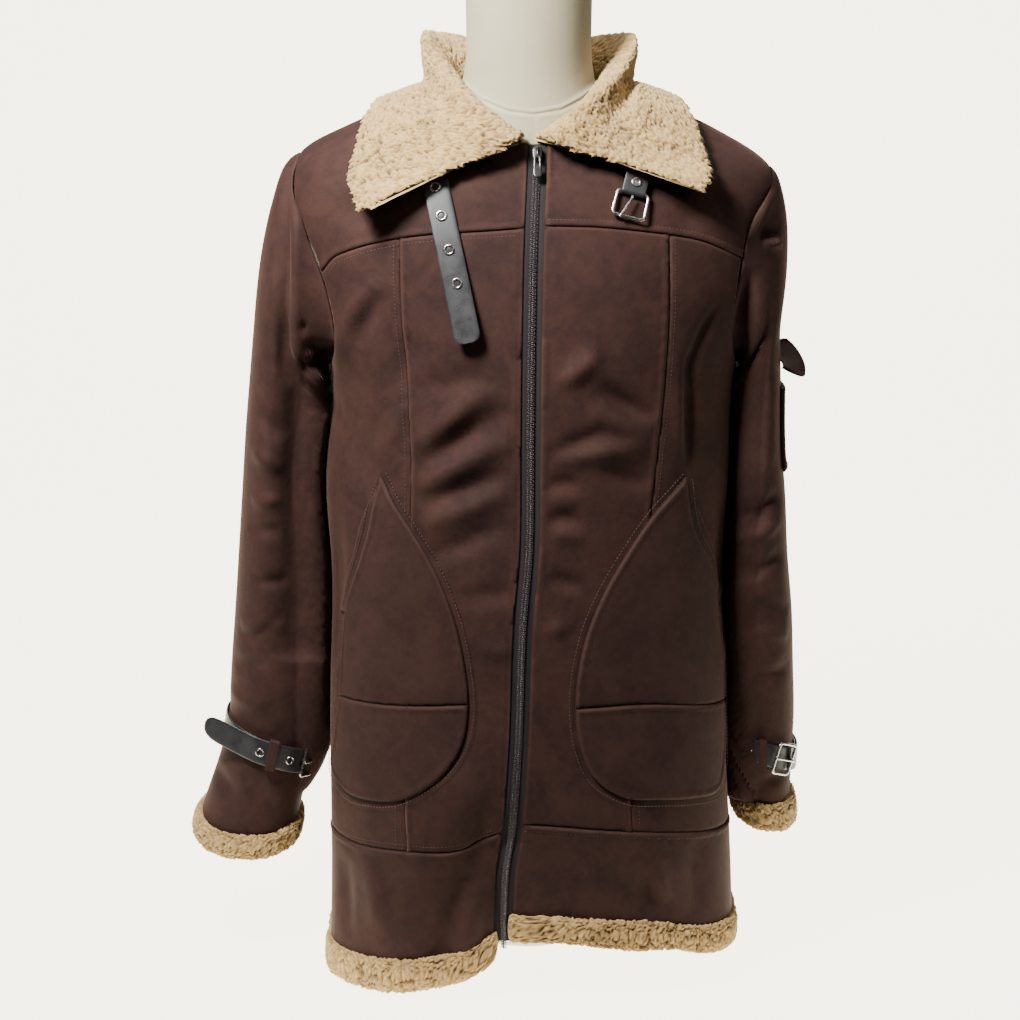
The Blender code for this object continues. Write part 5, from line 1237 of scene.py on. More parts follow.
def pile_height(surface, tall=1.0):
    """The height of the pile from 0 to 1: domes with cracks between them. Tall stretches the broad cracks
    up."""
    bent = surface + 1.5 * np.sin(surface[..., [1, 2, 0]] * 0.57 + 1.3)
    bent += 0.7 * np.sin(bent[..., [2, 0, 1]] * 1.25)
    near, after = cells(bent, 4.3)
    tuft, crack = 1 - near**2, np.exp(-(((after - near) / 0.17) ** 2))
    fine = 1 - cells(bent, 2.2, 5.1)[0] ** 2
    broad_near, broad_after = cells(bent * [1, 1, 1 / tall], 15.0, 3.3)
    broad = np.exp(-(((broad_after - broad_near) / 0.07) ** 2))
    return np.clip(0.12 + 0.42 * tuft - 0.3 * crack + 0.36 * fine - 0.4 * broad, 0, 1)


def make_tube(name, rings, finish, closed=False, **attributes):
    """A closed surface through rings of points. Unless its last ring joins its first, each end gets a fan."""
    count, sides = rings.shape[:2]
    r, i = np.meshgrid(np.arange(count if closed else count - 1), np.arange(sides), indexing="ij")
    j, after = (i + 1) % sides, (r + 1) % count
    faces = triangles(np.stack([r * sides + i, r * sides + j, after * sides + j, after * sides + i],
            -1).reshape(-1, 4))
    points = rings.reshape(-1, 3)
    if not closed:
        i, last = np.arange(sides), (count - 1) * sides
        j, first_middle = (i + 1) % sides, np.full(sides, len(points))
        faces = np.concatenate([faces, np.stack([first_middle, j, i], 1),
                                np.stack([first_middle + 1, last + i, last + j], 1)])
        points = np.concatenate([points, [rings[0].mean(0), rings[-1].mean(0)]])
    piece = make_piece(name, points, faces, finish)
    for key, values in attributes.items():
        values = np.ravel(values)
        add_attribute(piece, key, np.concatenate([values, np.repeat(values[-1], len(points) - len(values))]))
    return piece


def make_fleece(name, rings, outwards, reach, *nodes, closed=False, tall=1.0):
    """A fleece piece: rings of points pushed out by the pile, up to this reach in millimetres."""
    pile = pile_height(rings, tall)
    piece = make_tube(name, rings + outwards * ((pile - 0.55) * reach)[..., None], fleece, closed, pile=pile)
    dress(piece, *nodes)
    return piece


# %% [markdown]
# ### Fleece along the hem and the cuffs
#
# The edge is a flattened roll. Its section is a superellipse whose height is the band's and whose thickness
# is the pile's. The section is carried along the body between the hem's two lines, and round each sleeve's
# last rings. At an open end the section shrinks to a point, so the roll is closed.

# %% Rolls of fleece
ROLL_POINTS = 72
EDGE_SQUARE, EDGE_REACH, EDGE_TALL = 3.2, 4.6, 1.7
TRIM_OUT, TRIM_IN = 5.0, -6.0
roll_turn = np.arange(ROLL_POINTS) * 2 * np.pi / ROLL_POINTS
roll_out, roll_up = power(np.cos(roll_turn), 2 / EDGE_SQUARE), power(np.sin(roll_turn), 2 / EDGE_SQUARE)


def closed_ends(count, length):
    """The section's share of its size along a roll: a quarter circle down to nearly 0 at both ends."""
    from_end = np.minimum(np.arange(count), np.arange(count)[::-1]) / length
    return np.maximum(np.sqrt(np.clip(1 - (1 - np.clip(from_end, 0, 1)) ** 2, 0, 1)), 0.03)


def leaning(normal):
    """The direction in which the pile stands round a roll: the body's normal and the vertical, by the
    section."""
    return unit(normal * roll_out[:, None] + np.array([0, 0, 1.0]) * (roll_up * 0.8)[:, None])


def hem_roll(name, first, last, top, bottom, *nodes):
    """The hem's roll between two angles: level = middle ± half its height, out by half its thickness."""
    angle = np.linspace(first, last, int(abs(last - first) * MM_PER_DEGREE / 1.3))
    top, bottom = top[np.argsort(top[:, 0])], bottom[np.argsort(bottom[:, 0])]
    high = np.interp(angle * MM_PER_DEGREE, *top.T) + 2.0
    low = np.interp(angle * MM_PER_DEGREE, *bottom.T)
    size = closed_ends(len(angle), 3)
    level = ((high + low) / 2)[:, None] + (high - low)[:, None] / 2 * roll_up * size[:, None]
    angles = np.broadcast_to(angle[:, None], level.shape)
    normal = torso_normal(angles, level)
    out = (TRIM_OUT + TRIM_IN) / 2 + (TRIM_OUT - TRIM_IN) / 2 * roll_out * size[:, None]
    make_fleece(name, torso(angles, level) + normal * out[..., None], leaning(normal), EDGE_REACH, *nodes,
                tall=EDGE_TALL)


tape_angle = {side: on_sheet(lines["tape", TAPE * side])[0][-1] for side in (RIGHT, LEFT)}
hem_roll("hem_fleece_right", 180.3, tape_angle[RIGHT] + 1.0, lines["hem top", RIGHT],
        lines["hem bottom", RIGHT],
         "hem_trim_right")
hem_roll("hem_fleece_left", tape_angle[LEFT] - 1.0, 359.7, lines["hem top", LEFT], lines["hem bottom", LEFT],
         "hem_trim_left")
hem_roll("hem_fleece_back", 0.3, 179.7, lines["back hem top", 0], lines["back hem bottom", 0],
        "hem_trim_back")

CUFF_OUT, CUFF_IN = 6.0, -7.0
for side in (RIGHT, LEFT):
    first, last = CUFF_TRIM_RING[side] - 0.04, SLEEVE_END
    turns, ring = np.meshgrid(np.arange(0, 360, 1.8), (first + last) / 2 - (last - first) / 2 * roll_up,
            indexing="ij")
    normal = sleeve_normal(side, turns, ring)
    out = (CUFF_OUT + CUFF_IN) / 2 + (CUFF_OUT - CUFF_IN) / 2 * roll_out
    make_fleece(f"cuff_fleece_{SIDE_NAMES[side]}", sleeve(side, turns, ring) + normal * out[:, None],
            leaning(normal),
                EDGE_REACH, f"cuff_trim_{SIDE_NAMES[side]}", closed=True, tall=EDGE_TALL)
print("hem and cuffs")

# %% [markdown]
# ### Collar
#
# The collar is one long strip: a stand that rises from the neck seam, a roll, and a fall that turns down
# and ends in two wings. Each row of the table is a section across it, from the right front round the back
# to the left front. A section is carried on as a closed loop: up over the fleece side, round the thick edge
# and back underneath. The suede underneath is a second, thin sheet.

# %% Collar form
COLLAR_COLUMNS = ("angle", "roll_x", "roll_y", "roll_z", "edge_x", "edge_y", "edge_z", "bulge")
COLLAR_ROWS = (
    (266, -12, -128, 820, -153, -160, 748, 6),
    (246, -34, -122, 832, -166, -132, 770, 10),
    (222, -56, -104, 852, -163, -104, 790, 21),
    (198, -78, -72, 876, -150, -64, 824, 29),
    (170, -98, -36, 902, -138, -20, 846, 31),
    (140, -94, 10, 908, -122, 44, 846, 22),
    (112, -40, 34, 900, -60, 84, 834, 16),
    (90, 0, 40, 898, 0, 94, 826, 16),
    (68, 40, 34, 900, 60, 84, 834, 16),
    (40, 94, 10, 906, 120, 44, 848, 22),
    (10, 98, -36, 898, 138, -20, 848, 31),
    (-18, 80, -72, 874, 150, -64, 828, 28),
    (-42, 60, -104, 850, 164, -104, 798, 20),
    (-66, 40, -122, 832, 166, -134, 782, 10),
    (-86, 22, -128, 820, 158, -158, 766, 6),
)
COLLAR_THICK, COLLAR_LIFT, COLLAR_STRAIGHT = 8.0, 5.0, 12.0
COLLAR_SECTIONS, COLLAR_STAND, COLLAR_FALL = 27, 3, 6
COLLAR_EDGE, COLLAR_FILL = 0.38, 3.0  # its thickness at the neck seam as a share, and how soon it is full


def lifted(points, least):
    """Points moved out along the body's normal, where needed, to lie at least this far above the body."""
    angle, level = np.meshgrid(np.arange(0, 360, 3.0), np.arange(600, TOP, 6.0))
    surface, normal = torso(angle, level).reshape(-1, 3), torso_normal(angle, level).reshape(-1, 3)
    near = np.argmin(((surface - points.reshape(-1, 1, 3)) ** 2).sum(-1), 1).reshape(points.shape[:-1])
    height = ((points - surface[near]) * normal[near]).sum(-1)
    return points + normal[near] * np.maximum(0, least - height)[..., None]


def collar_sheets():
    """The fleece side and the suede side of the collar, as grids of sections by points from neck to edge."""
    sections = np.linspace(COLLAR_ROWS[0][0], COLLAR_ROWS[-1][0], COLLAR_SECTIONS)
    roll, edge = (
        np.stack([column(COLLAR_ROWS[::-1], COLLAR_COLUMNS, f"{part}_{axis}", sections) for axis in "xyz"],
                -1)
        for part in ("roll", "edge")
    )
    bulge = column(COLLAR_ROWS[::-1], COLLAR_COLUMNS, "bulge", sections)
    level = np.full(sections.shape, float(TOP))
    neck = torso(sections % 360, level)
    neck += unit(neck - torso(sections % 360, level - 6)) * 0.4
    out = -unit(np.cross(np.gradient(roll, axis=0), unit(edge - roll)))
    points = [neck * (1 - t) ** 2 + 2 * t * (1 - t) * (neck + [0, 0, COLLAR_STRAIGHT]) + roll * t * t
              for t in np.linspace(0, 1, COLLAR_STAND + 1)]
    points += [roll * (1 - t) + edge * t + out * (np.sin(np.pi * t) * bulge)[:, None]
               for t in np.linspace(0, 1, COLLAR_FALL + 1)[1:]]
    under = np.stack(points, 1)
    normal = unit(np.cross(np.gradient(under, axis=0), np.gradient(under, axis=1)))
    thick = COLLAR_THICK * np.clip(COLLAR_EDGE + COLLAR_FILL * np.linspace(0, 1, under.shape[1]), 0, 1)
    top, fall = under + normal * thick[None, :, None], slice(COLLAR_STAND + 2, None)
    top[:, fall] = lifted(top[:, fall], COLLAR_LIFT + COLLAR_THICK)
    under[:, fall] = lifted(under[:, fall], COLLAR_LIFT)
    return top, under


def refined(grid, rows, columns, inset=0.0):
    """A grid read at more rows and columns, by a smooth curve through each row and column, inset at both
    ends."""
    first = np.arange(len(grid))
    at = np.linspace(inset, len(grid) - 1 - inset, rows)
    tall = np.stack([smooth(first, grid[:, c, i], at) for c in range(grid.shape[1]) for i in range(3)], 1)
    tall = tall.reshape(rows, grid.shape[1], 3)
    first, at = np.arange(grid.shape[1]), columns
    wide = np.stack([[smooth(first, row[:, i], at) for i in range(3)] for row in tall])
    return np.swapaxes(wide, 1, 2)


# %% Collar pieces
collar_top, collar_under = collar_sheets()
COLLAR_ROWS_FINE, COLLAR_COLUMNS_FINE, COLLAR_REACH = 430, 118, 4.4
wide = np.linspace(0, collar_top.shape[1] - 1, COLLAR_COLUMNS_FINE)
top = refined(collar_top, COLLAR_ROWS_FINE, wide)
under = refined(collar_under, COLLAR_ROWS_FINE, wide)
SUEDE_SHARE = 0.2
HANG = np.array([0, -3.0, -9.0])
base = under + (top - under) * SUEDE_SHARE
size = closed_ends(COLLAR_ROWS_FINE, 6)[:, None] * np.append(np.ones(COLLAR_COLUMNS_FINE - 6),
                                                             closed_ends(12, 6)[6:])
middle = (top + base) / 2
over, below = middle + (top - middle) * size[..., None], middle + (base - middle) * size[..., None]
outward = unit(np.cross(np.gradient(top, axis=0), np.gradient(top, axis=1)))
outward *= np.sign((outward * (top - under)).sum(-1, keepdims=True))
edgeward = unit(np.gradient(top, axis=1))
near_edge = np.clip(1.25 - 1.25 * size, 0, 1)[..., None]
towards_end = np.sign(np.arange(COLLAR_ROWS_FINE) - COLLAR_ROWS_FINE / 2)[:, None, None]
endward = unit(np.gradient(top, axis=0)) * towards_end
at_end = (1 - closed_ends(COLLAR_ROWS_FINE, 6))[:, None, None]
outward = unit(outward * (1 - near_edge) + edgeward * (near_edge - at_end).clip(0, 1) + endward * at_end)
outward *= 1 + 1.1 * near_edge
inner = np.linspace(0, collar_top.shape[1] - 1.45, 15)
lower = refined(collar_under, COLLAR_ROWS_FINE, inner, 0.35)
coarse = (lower + (refined(collar_top, COLLAR_ROWS_FINE, inner, 0.35) - lower) * SUEDE_SHARE)[:, ::-1]
loop = np.concatenate([over, coarse], 1)
away = np.concatenate([outward, np.zeros_like(coarse)], 1)
# In front the fleece hangs over the neck seam, and it is longest along the collar's edges.
from_end = np.minimum(np.arange(COLLAR_ROWS_FINE), np.arange(COLLAR_ROWS_FINE)[::-1])[:, None]
near_roll = np.exp(-(((np.arange(loop.shape[1]) / COLLAR_COLUMNS_FINE - 0.36) / 0.22) ** 2)) * (
    np.arange(loop.shape[1]) < COLLAR_COLUMNS_FINE)
loop += (np.exp(-((from_end / 16) ** 2)) * near_roll)[..., None] * HANG
collar = make_fleece("collar_fleece", loop, away, COLLAR_REACH, "collar")

SUEDE_ROWS, SUEDE_COLUMNS, SUEDE_TRIM, SUEDE_THICK = 150, 44, 2, 1.4
kept = slice(SUEDE_TRIM, -SUEDE_TRIM)
at = np.linspace(0.02, collar_top.shape[1] - 1.28, SUEDE_COLUMNS)
inset = refined(collar_under, SUEDE_ROWS, at)[kept]
across = refined(collar_top, SUEDE_ROWS, at)[kept] - inset
edge = from_edge(*inset.shape[:2], 3.3, 3.0)
collar_back = make_wall("collar_suede", inset, inset + unit(across) * SUEDE_THICK, grid_faces(*inset.shape[:2]),
                        suede, edge)
dress(collar_back)
print("collar of", len(collar.data.polygons), "facets")

# %% [markdown]
# ## Zip
#
# A coil zip has two nylon monofilaments wound round a cord and sewn to the tapes. From the front each turn
# is a short rounded bar, and the bars of the two tapes take turns across the middle. They are copies of one
# bead along the zip's line. The slider is a shield with a bridge on top, and its pull hangs from the
# bridge.

# %% Coil
COIL_PITCH, COIL_SINK = 1.75, 0.6
COIL_ENDS = (50, 807)
TOOTH_WIDE, TOOTH_HIGH, TOOTH_SIDES = 0.62, 0.75, 6
TOOTH_OUT, TOOTH_LEAN = 1.15, 0.16  # how far out from the middle, and how far it leans along the zip
TOOTH = ((-1.9, 0), (-1.7, 0.7), (-1.0, 1), (1.0, 1), (1.7, 0.7), (1.9, 0))


def on_front(x, z):
    """The body's points and normals at x and z of the front view."""
    angle, level = place_on_torso(x, z)
    return torso(angle, level), torso_normal(angle, level)


def one_on_front(x, z):
    point, normal = on_front(np.array([x]), np.array([z]))
    return point[0], normal[0]


heights = np.linspace(*COIL_ENDS, 300)
line = np.array(ZIP_LINE, float)[::-1]
chain, up = on_front(smooth(line[:, 1], line[:, 0], heights), heights)
origin, ahead, aside, out = along_line(chain - up * COIL_SINK, up, COIL_PITCH / 2)
hand = np.where(np.arange(len(origin)) % 2, 1.0, -1.0)[:, None]  # the tape that each turn belongs to
lean = unit(aside + ahead * TOOTH_LEAN * hand)
teeth = copies(bead(TOOTH, TOOTH_SIDES, TOOTH_WIDE, TOOTH_HIGH), origin + aside * hand * TOOTH_OUT, lean,
               np.cross(out, lean), out)
coil = make_piece("coil", *teeth, coil_nylon)
dress(coil, "zip_coil")
print(len(origin), "turns of the coil")

# %% Plates, rings and wires


def rounded(outline, radius, steps=5):
    """A closed outline with its corners rounded: each becomes a parabola between points a radius from it."""
    outline = np.asarray(outline, float)
    before, after = np.roll(outline, 1, 0) - outline, np.roll(outline, -1, 0) - outline
    cut = np.minimum(radius, 0.45 * np.minimum(np.linalg.norm(before, axis=1), np.linalg.norm(after, axis=1)))
    t = np.linspace(0, 1, steps)[None, :, None]
    corner = outline[:, None] + cut[:, None, None] * (unit(before)[:, None] * (1 - t) ** 2
                                                      + unit(after)[:, None] * t**2)
    return corner.reshape(-1, outline.shape[1])


def resampled(outline, count):
    """A closed outline as a number of points at equal steps."""
    loop = np.concatenate([outline, outline[:1]])
    length = np.concatenate([[0], np.cumsum(np.linalg.norm(np.diff(loop, axis=0), axis=1))])
    at = np.arange(count) * length[-1] / count
    return np.stack([np.interp(at, length, loop[:, i]) for i in range(loop.shape[1])], 1)


def plate(name, outline, origin, axes, low, high, bevel, finish):
    """A solid plate: its outline from low to high, drawn in by the bevel's quarter circle at the top and
    bottom."""
    centre = outline.mean(0)
    reach = np.linalg.norm(outline - centre, axis=1, keepdims=True)
    rings = []
    for turn in np.radians((-90, -60, -30, 0, 0, 30, 60, 90)):
        ring = centre + (outline - centre) * (1 - bevel * (1 - np.cos(turn)) / reach)
        middle = low + bevel if turn < 0 or (turn == 0 and len(rings) == 3) else high - bevel
        rings.append(ring @ axes[:2] + origin + axes[2] * (middle + bevel * np.sin(turn)))
    return make_tube(name, np.stack(rings), finish)


def ring_plate(name, outer, inner, origin, axes, low, high, finish, square=3.0, steps=16):
    """A plate with a hole: a superellipse section between the inner and outer outlines, from low to high."""
    turn = np.arange(steps) * 2 * np.pi / steps
    share = (1 + power(np.cos(turn), 2 / square)) / 2
    height = (low + high) / 2 + (high - low) / 2 * power(np.sin(turn), 2 / square)
    rings = [(inner * (1 - s) + outer * s) @ axes[:2] + origin + axes[2] * h for s, h in zip(share, height)]
    return make_tube(name, np.stack(rings), finish, closed=True)


def circle(radius, count=40):
    turn = np.arange(count) * 2 * np.pi / count
    return radius * np.stack([np.cos(turn), np.sin(turn)], 1)


def axes_on(normal, up):
    """Across, up and out: three square axes with this normal, the second as near as possible to up."""
    up = unit(up - normal * (up @ normal))
    return np.stack([np.cross(up, normal), up, normal])


UP = np.array([0, 0, 1.0])
HOLE_SHARE = 1.2  # the rolled ring is thinner than the construction's


def eyelet(name, point, normal, outer, hole, low, high, node, body="root"):
    """A rolled nickel ring, its section nearly round."""
    piece = ring_plate(name, circle(outer), circle(hole * HOLE_SHARE), point, axes_on(normal, UP),
                       low, high, nickel, square=2.2)
    dress(piece, node, body=body)


def hole_shade_disc(name, point, normal, radius, top):
    """A dark disc in the hole of an eyelet: painted shade for the hole's shaded depth."""
    dress(plate(name, circle(radius), point, axes_on(normal, UP), top - 0.6, top + 0.15, 0.1, coil_nylon))


def wire(name, path, radius, plane, finish, closed=True):
    """A round wire along a path that lies in the plane with this normal. An open one has rounded ends."""
    path = np.asarray(path, float)
    if not closed:
        ends = unit(path[0] - path[1]) * radius, unit(path[-1] - path[-2]) * radius
        path = np.concatenate([[path[0] + ends[0] * s for s in (1.0, 0.8, 0.4)], path,
                               [path[-1] + ends[1] * s for s in (0.4, 0.8, 1.0)]])
    ahead = np.roll(path, -1, 0) - np.roll(path, 1, 0)
    if not closed:
        ahead[0], ahead[-1] = path[1] - path[0], path[-1] - path[-2]
    side = unit(np.cross(unit(ahead), plane))
    up = unit(np.cross(side, unit(ahead)))
    size = np.ones(len(path))
    if not closed:
        size[:3], size[-3:] = (0.15, 0.6, 0.92), (0.92, 0.6, 0.15)
    turn = np.arange(16)[None, :, None] * np.pi / 8
    round_it = np.cos(turn) * side[:, None] + np.sin(turn) * up[:, None]
    rings = path[:, None] + radius * size[:, None, None] * round_it
    return make_tube(name, rings, finish, closed)


# %% Slider and pull
SLIDER_X, SLIDER_TOP, SLIDER_BOTTOM = 7.5, 809.0, 796.0
SLIDER_LOW, SLIDER_SHOULDER, SLIDER_CROWN = 1.3, 4.6, 5.6
SHIELD = ((-3.0, 0), (3.0, 0), (4.6, 5), (4.6, 11), (2.6, 13.5), (-2.6, 13.5), (-4.6, 11), (-4.6, 5))
PULL_HINGE, PULL_THICK, PULL_CLEAR = 3.0, 1.4, 0.3
PULL = ((-3.2, 0.1), (-2.0, 0.6), (2.0, 0.6), (3.2, 0.1), (3.8, -19), (2.6, -22), (-2.6, -22), (-3.8, -19))
PULL_HOLE = ((-1.3, -2.6), (1.3, -2.6), (1.5, -9.5), (-1.5, -9.5))
foot, normal = one_on_front(SLIDER_X, SLIDER_BOTTOM)
axes = axes_on(normal, one_on_front(SLIDER_X, SLIDER_TOP)[0] - foot)
shield = plate("slider_body", rounded(SHIELD, 2.0), foot, axes, SLIDER_LOW, SLIDER_SHOULDER - 0.4, 0.9,
        dark_nickel)
dress(shield, "zip_slider")
bridge = [foot + axes[1] * u + axes[2] * v for u, v in ((1.2, 3.6), (1.2, 5.2), (2.2, 6.6), (4.5, 7.3),
        (7.5, 7.2),
                                                        (10.3, 6.4), (11.6, 5.0), (11.6, 3.6))]
dress(wire("slider_bridge", bridge, 0.75, axes[0], dark_nickel, closed=False))
hinge = foot + normal * (SLIDER_CROWN + PULL_CLEAR + PULL_THICK / 2) + axes[1] * PULL_HINGE
pull = ring_plate("pull_tab", resampled(rounded(PULL, 2.0), 64), resampled(rounded(PULL_HOLE, 0.8), 64),
        hinge, axes,
                  -PULL_THICK / 2, PULL_THICK / 2, dark_nickel, square=4.0)
dress(pull, "zip_pull", body="zip_tab")
print("slider and pull")

# %% [markdown]
# ## Straps and buckles
#
# A strap is a rounded section carried along the sheet it lies on: its width runs across the sheet and its
# thickness along the normal. The neck strap hangs free, so it stands off the chest towards its end. The
# buckle's strap goes round the frame's bar and is riveted to itself.

# %% Strap sections
STRAP_POINTS = 30
strap_turn = np.arange(STRAP_POINTS) * 2 * np.pi / STRAP_POINTS
strap_across, strap_up = power(np.cos(strap_turn), 2 / 6), power(np.sin(strap_turn), 2 / 3)


def strap_rings(points, normals, low, high):
    """Rings round a strap over a grid of points, along then across, from low to high above them."""
    columns = points.shape[1] - 1
    at = (strap_across + 1) / 2 * columns
    i = np.minimum(at.astype(int), columns - 1)
    share = (at - i)[None, :, None]

    def read(grid):
        return grid[:, i] * (1 - share) + grid[:, i + 1] * share

    low, high = (np.broadcast_to(np.asarray(value, float), len(points))[:, None] for value in (low, high))
    height = (low + high) / 2 + (high - low) / 2 * strap_up
    return read(points) + read(normals) * height[..., None]


TIP_LENGTH = 8.0  # how soon a strap's end rounds off


def straight_strip(start, end, half_width, rows, tip=False):
    """A flat grid of (x, z) from start to end. A tip rounds off its end."""
    start, end = np.array(start, float), np.array(end, float)
    length = np.linalg.norm(end - start)
    along = (end - start) / length
    side = np.array([-along[1], along[0]])
    distance = np.linspace(0, length, rows)
    half = np.full(rows, half_width)
    if tip:
        bend = np.radians(np.linspace(4, 87, 14))
        distance = np.append(np.linspace(0, length - TIP_LENGTH, rows),
                length - TIP_LENGTH * (1 - np.sin(bend)))
        half = half_width * np.append(np.ones(rows), np.cos(bend) ** 0.55)
    across = np.linspace(-1, 1, 5)
    return (start + distance[:, None, None] * along) + (half[:, None] * across)[..., None] * side


# %% Neck strap
STRAP_HALF, STRAP_LOW, STRAP_HIGH = 12.0, 0.8, 3.2
STRAP_LIFT = 9.0  # how far its free end stands off the chest
NECK_STRAP = ((-89, 790), (-54.5, 634))
EYELETS = ((-86, 772), (-80, 747), (-73, 717), (-65.5, 687))
EYELET_RADIUS, EYELET_HOLE = 5.2, 2.5


def strap_lift(z):
    """Lift × share², the share running from 0 at the strap's root to 1 at its end."""
    share = np.clip((NECK_STRAP[0][1] - 30 - z) / (NECK_STRAP[0][1] - 30 - NECK_STRAP[1][1]), 0, 1)
    return STRAP_LIFT * share**2


flat = straight_strip(*NECK_STRAP, STRAP_HALF, 60, tip=True)
points, normals = on_front(flat[..., 0], flat[..., 1])
lift = strap_lift(flat[:, 2, 1])
dress(make_tube("neck_strap_leather", strap_rings(points, normals, STRAP_LOW + lift, STRAP_HIGH + lift),
        leather),
      "neck_strap")
for number, (x, z) in enumerate(EYELETS, 1):
    point, normal = one_on_front(x, z)
    top = STRAP_HIGH + strap_lift(z)
    eyelet(f"neck_ring_{number}", point, normal, EYELET_RADIUS, EYELET_HOLE, top - 0.2, top + 1.3,
           f"neck_eyelet_{number}")
    # A dark disc in the hole, as painted shade.
    hole_shade_disc(f"neck_hole_shade_{number}", point, normal, EYELET_HOLE + 0.8, top)
print("neck strap")

# %% Neck buckle
BUCKLE_BAR, BUCKLE_TURN = (95, 767), -15.0
BUCKLE_WIDE, BUCKLE_TALL, BUCKLE_WIRE, FRAME_EXTRA = 29.0, 24.0, 1.5, 0.2
BUCKLE_STRAP_HALF, BUCKLE_LEATHER, BUCKLE_LOOSE = 11.0, 1.6, 0.5
BUCKLE_BAR_HIGH = STRAP_LOW + BUCKLE_LEATHER + BUCKLE_WIRE + 0.1
RIVET_DOWN, RIVET_RADIUS, RIVET_HOLE = -9.0, 4.6, 1.8
PRONG_WIRE, PRONG_LEAN, PRONG_PAST, PRONG_HIGH = 1.2, 7.0, 2.2, 3.0
bar_point, normal = one_on_front(*BUCKLE_BAR)
bar = bar_point + normal * BUCKLE_BAR_HIGH
turn = np.radians(BUCKLE_TURN)
across = np.array([np.cos(turn), 0, np.sin(turn)])
across = unit(across - normal * (across @ normal))
down = np.cross(across, normal)
down *= -np.sign(down[2])
half = BUCKLE_WIDE / 2
corners = [bar - across * half, bar + across * half, bar + across * (half + 0.5) + down * BUCKLE_TALL,
           bar - across * (half + 0.5) + down * BUCKLE_TALL]
frame_wire = wire("buckle_frame", resampled(rounded(corners, 4.0, 9), 120), BUCKLE_WIRE + FRAME_EXTRA,
        normal, nickel)
dress(frame_wire, "neck_buckle_frame", body="buckle")
radius = BUCKLE_WIRE + BUCKLE_LOOSE
bend = np.radians(np.linspace(0, 180, 13))
section = [(-reach, -radius) for reach in np.linspace(26, 1, 12)]
section += [(radius * np.sin(a), -radius * np.cos(a)) for a in bend]
section = np.array(section + [(-reach, radius) for reach in np.linspace(1, 26, 12)])
ahead = unit(np.gradient(section, axis=0))
outwards = np.stack([ahead[:, 1], -ahead[:, 0]], 1)
sides = np.linspace(-BUCKLE_STRAP_HALF, BUCKLE_STRAP_HALF, 4)
points = bar + (section[:, :1] * down + section[:, 1:] * normal)[:, None] + sides[None, :, None] * across
face_out = (outwards[:, :1] * down + outwards[:, 1:] * normal)[:, None] + np.zeros((1, 4, 1))
dress(make_tube("buckle_leather", strap_rings(points, face_out, 0.0, BUCKLE_LEATHER), leather),
      "buckle_strap")
rivet = bar + down * RIVET_DOWN + normal * (radius + BUCKLE_LEATHER)
eyelet("rivet_ring", rivet, normal, RIVET_RADIUS, RIVET_HOLE, -0.1, 1.4, "buckle_rivet")
dress(plate("rivet_core", circle(RIVET_HOLE + 0.4), rivet, axes_on(normal, UP), -0.2, 0.7, 0.4,
            nickel))
start = bar + down * (radius + BUCKLE_LEATHER + PRONG_WIRE + 0.4) + normal * PRONG_HIGH
tip = bar + down * (BUCKLE_TALL + PRONG_PAST) - across * PRONG_LEAN + normal * PRONG_HIGH
dress(wire("buckle_prong", [start + (tip - start) * t for t in np.linspace(0, 1, 12)], PRONG_WIRE, normal,
        nickel,
           closed=False), "neck_buckle_prong", body="prong")
print("neck buckle")

# %% Cuff straps
BELT_HALF = 12.5
BELT_LOW, BELT_HIGH = 1.4, 3.2
TAIL_LOW, TAIL_HIGH, TAIL_START = 3.6, 5.4, 14
KEEPER_LOW = 0.7
TAIL_TIP = ((0.15, 1.0), (0.35, 1.0), (0.55, 0.99), (0.7, 0.96), (0.82, 0.9), (0.91, 0.76), (0.97, 0.55),
        (1.0, 0.25))
CUFF_EYELET_RADIUS, CUFF_EYELET_HOLE = 4.6, 2.3
CUFF_BUCKLE_HALF, CUFF_BUCKLE_TALL, CUFF_BUCKLE_WIRE = 11.0, 15.5, 1.5
CUFF_BUCKLE_HIGH = TAIL_HIGH + 0.3
CUFF_PRONG_WIRE, CUFF_PRONG_HIGH = 1.1, 3.1
KEEPER_SECTION = ((-15.2, KEEPER_LOW), (-15.2, 8.1), (15.2, 8.1), (15.2, KEEPER_LOW),
                  (14.0, KEEPER_LOW), (14.0, 6.1), (-14.0, 6.1), (-14.0, KEEPER_LOW))
BELT_COLUMNS = ("outer_z", "inner_z", "buckle", "keeper", "leave", "free", "eyelets", "eyelet_low")
BELTS = {
    RIGHT: (236, 199, 148, 98, 72, 50, (86, 118), TAIL_HIGH),
    LEFT: (198, 222, 66, 96, 330, 8, (118,), BELT_HIGH),
}


def ring_at_height(side, turn, z, low=6.0, high=14.0):
    """The ring, between low and high, at which the sleeve reaches a height."""
    low, high = np.full(np.shape(z), low), np.full(np.shape(z), high)
    for _ in range(24):
        ring = (low + high) / 2
        below = sleeve(side, turn, ring)[..., 2] < z
        high = np.where(below, ring, high)
        low = np.where(below, low, ring)
    return ring


def on_belt(side, turn, across):
    """The sleeve's point and normal at a turn, this far above the belt's middle line."""
    belt = dict(zip(BELT_COLUMNS, BELTS[side]))
    turn, across = np.broadcast_arrays(np.asarray(turn, float), np.asarray(across, float))
    share = (1 + np.cos(np.radians(turn))) / 2
    z = belt["inner_z"] + (belt["outer_z"] - belt["inner_z"]) * share + across
    ring = ring_at_height(side, turn, z)
    return sleeve(side, turn, ring), sleeve_normal(side, turn, ring)


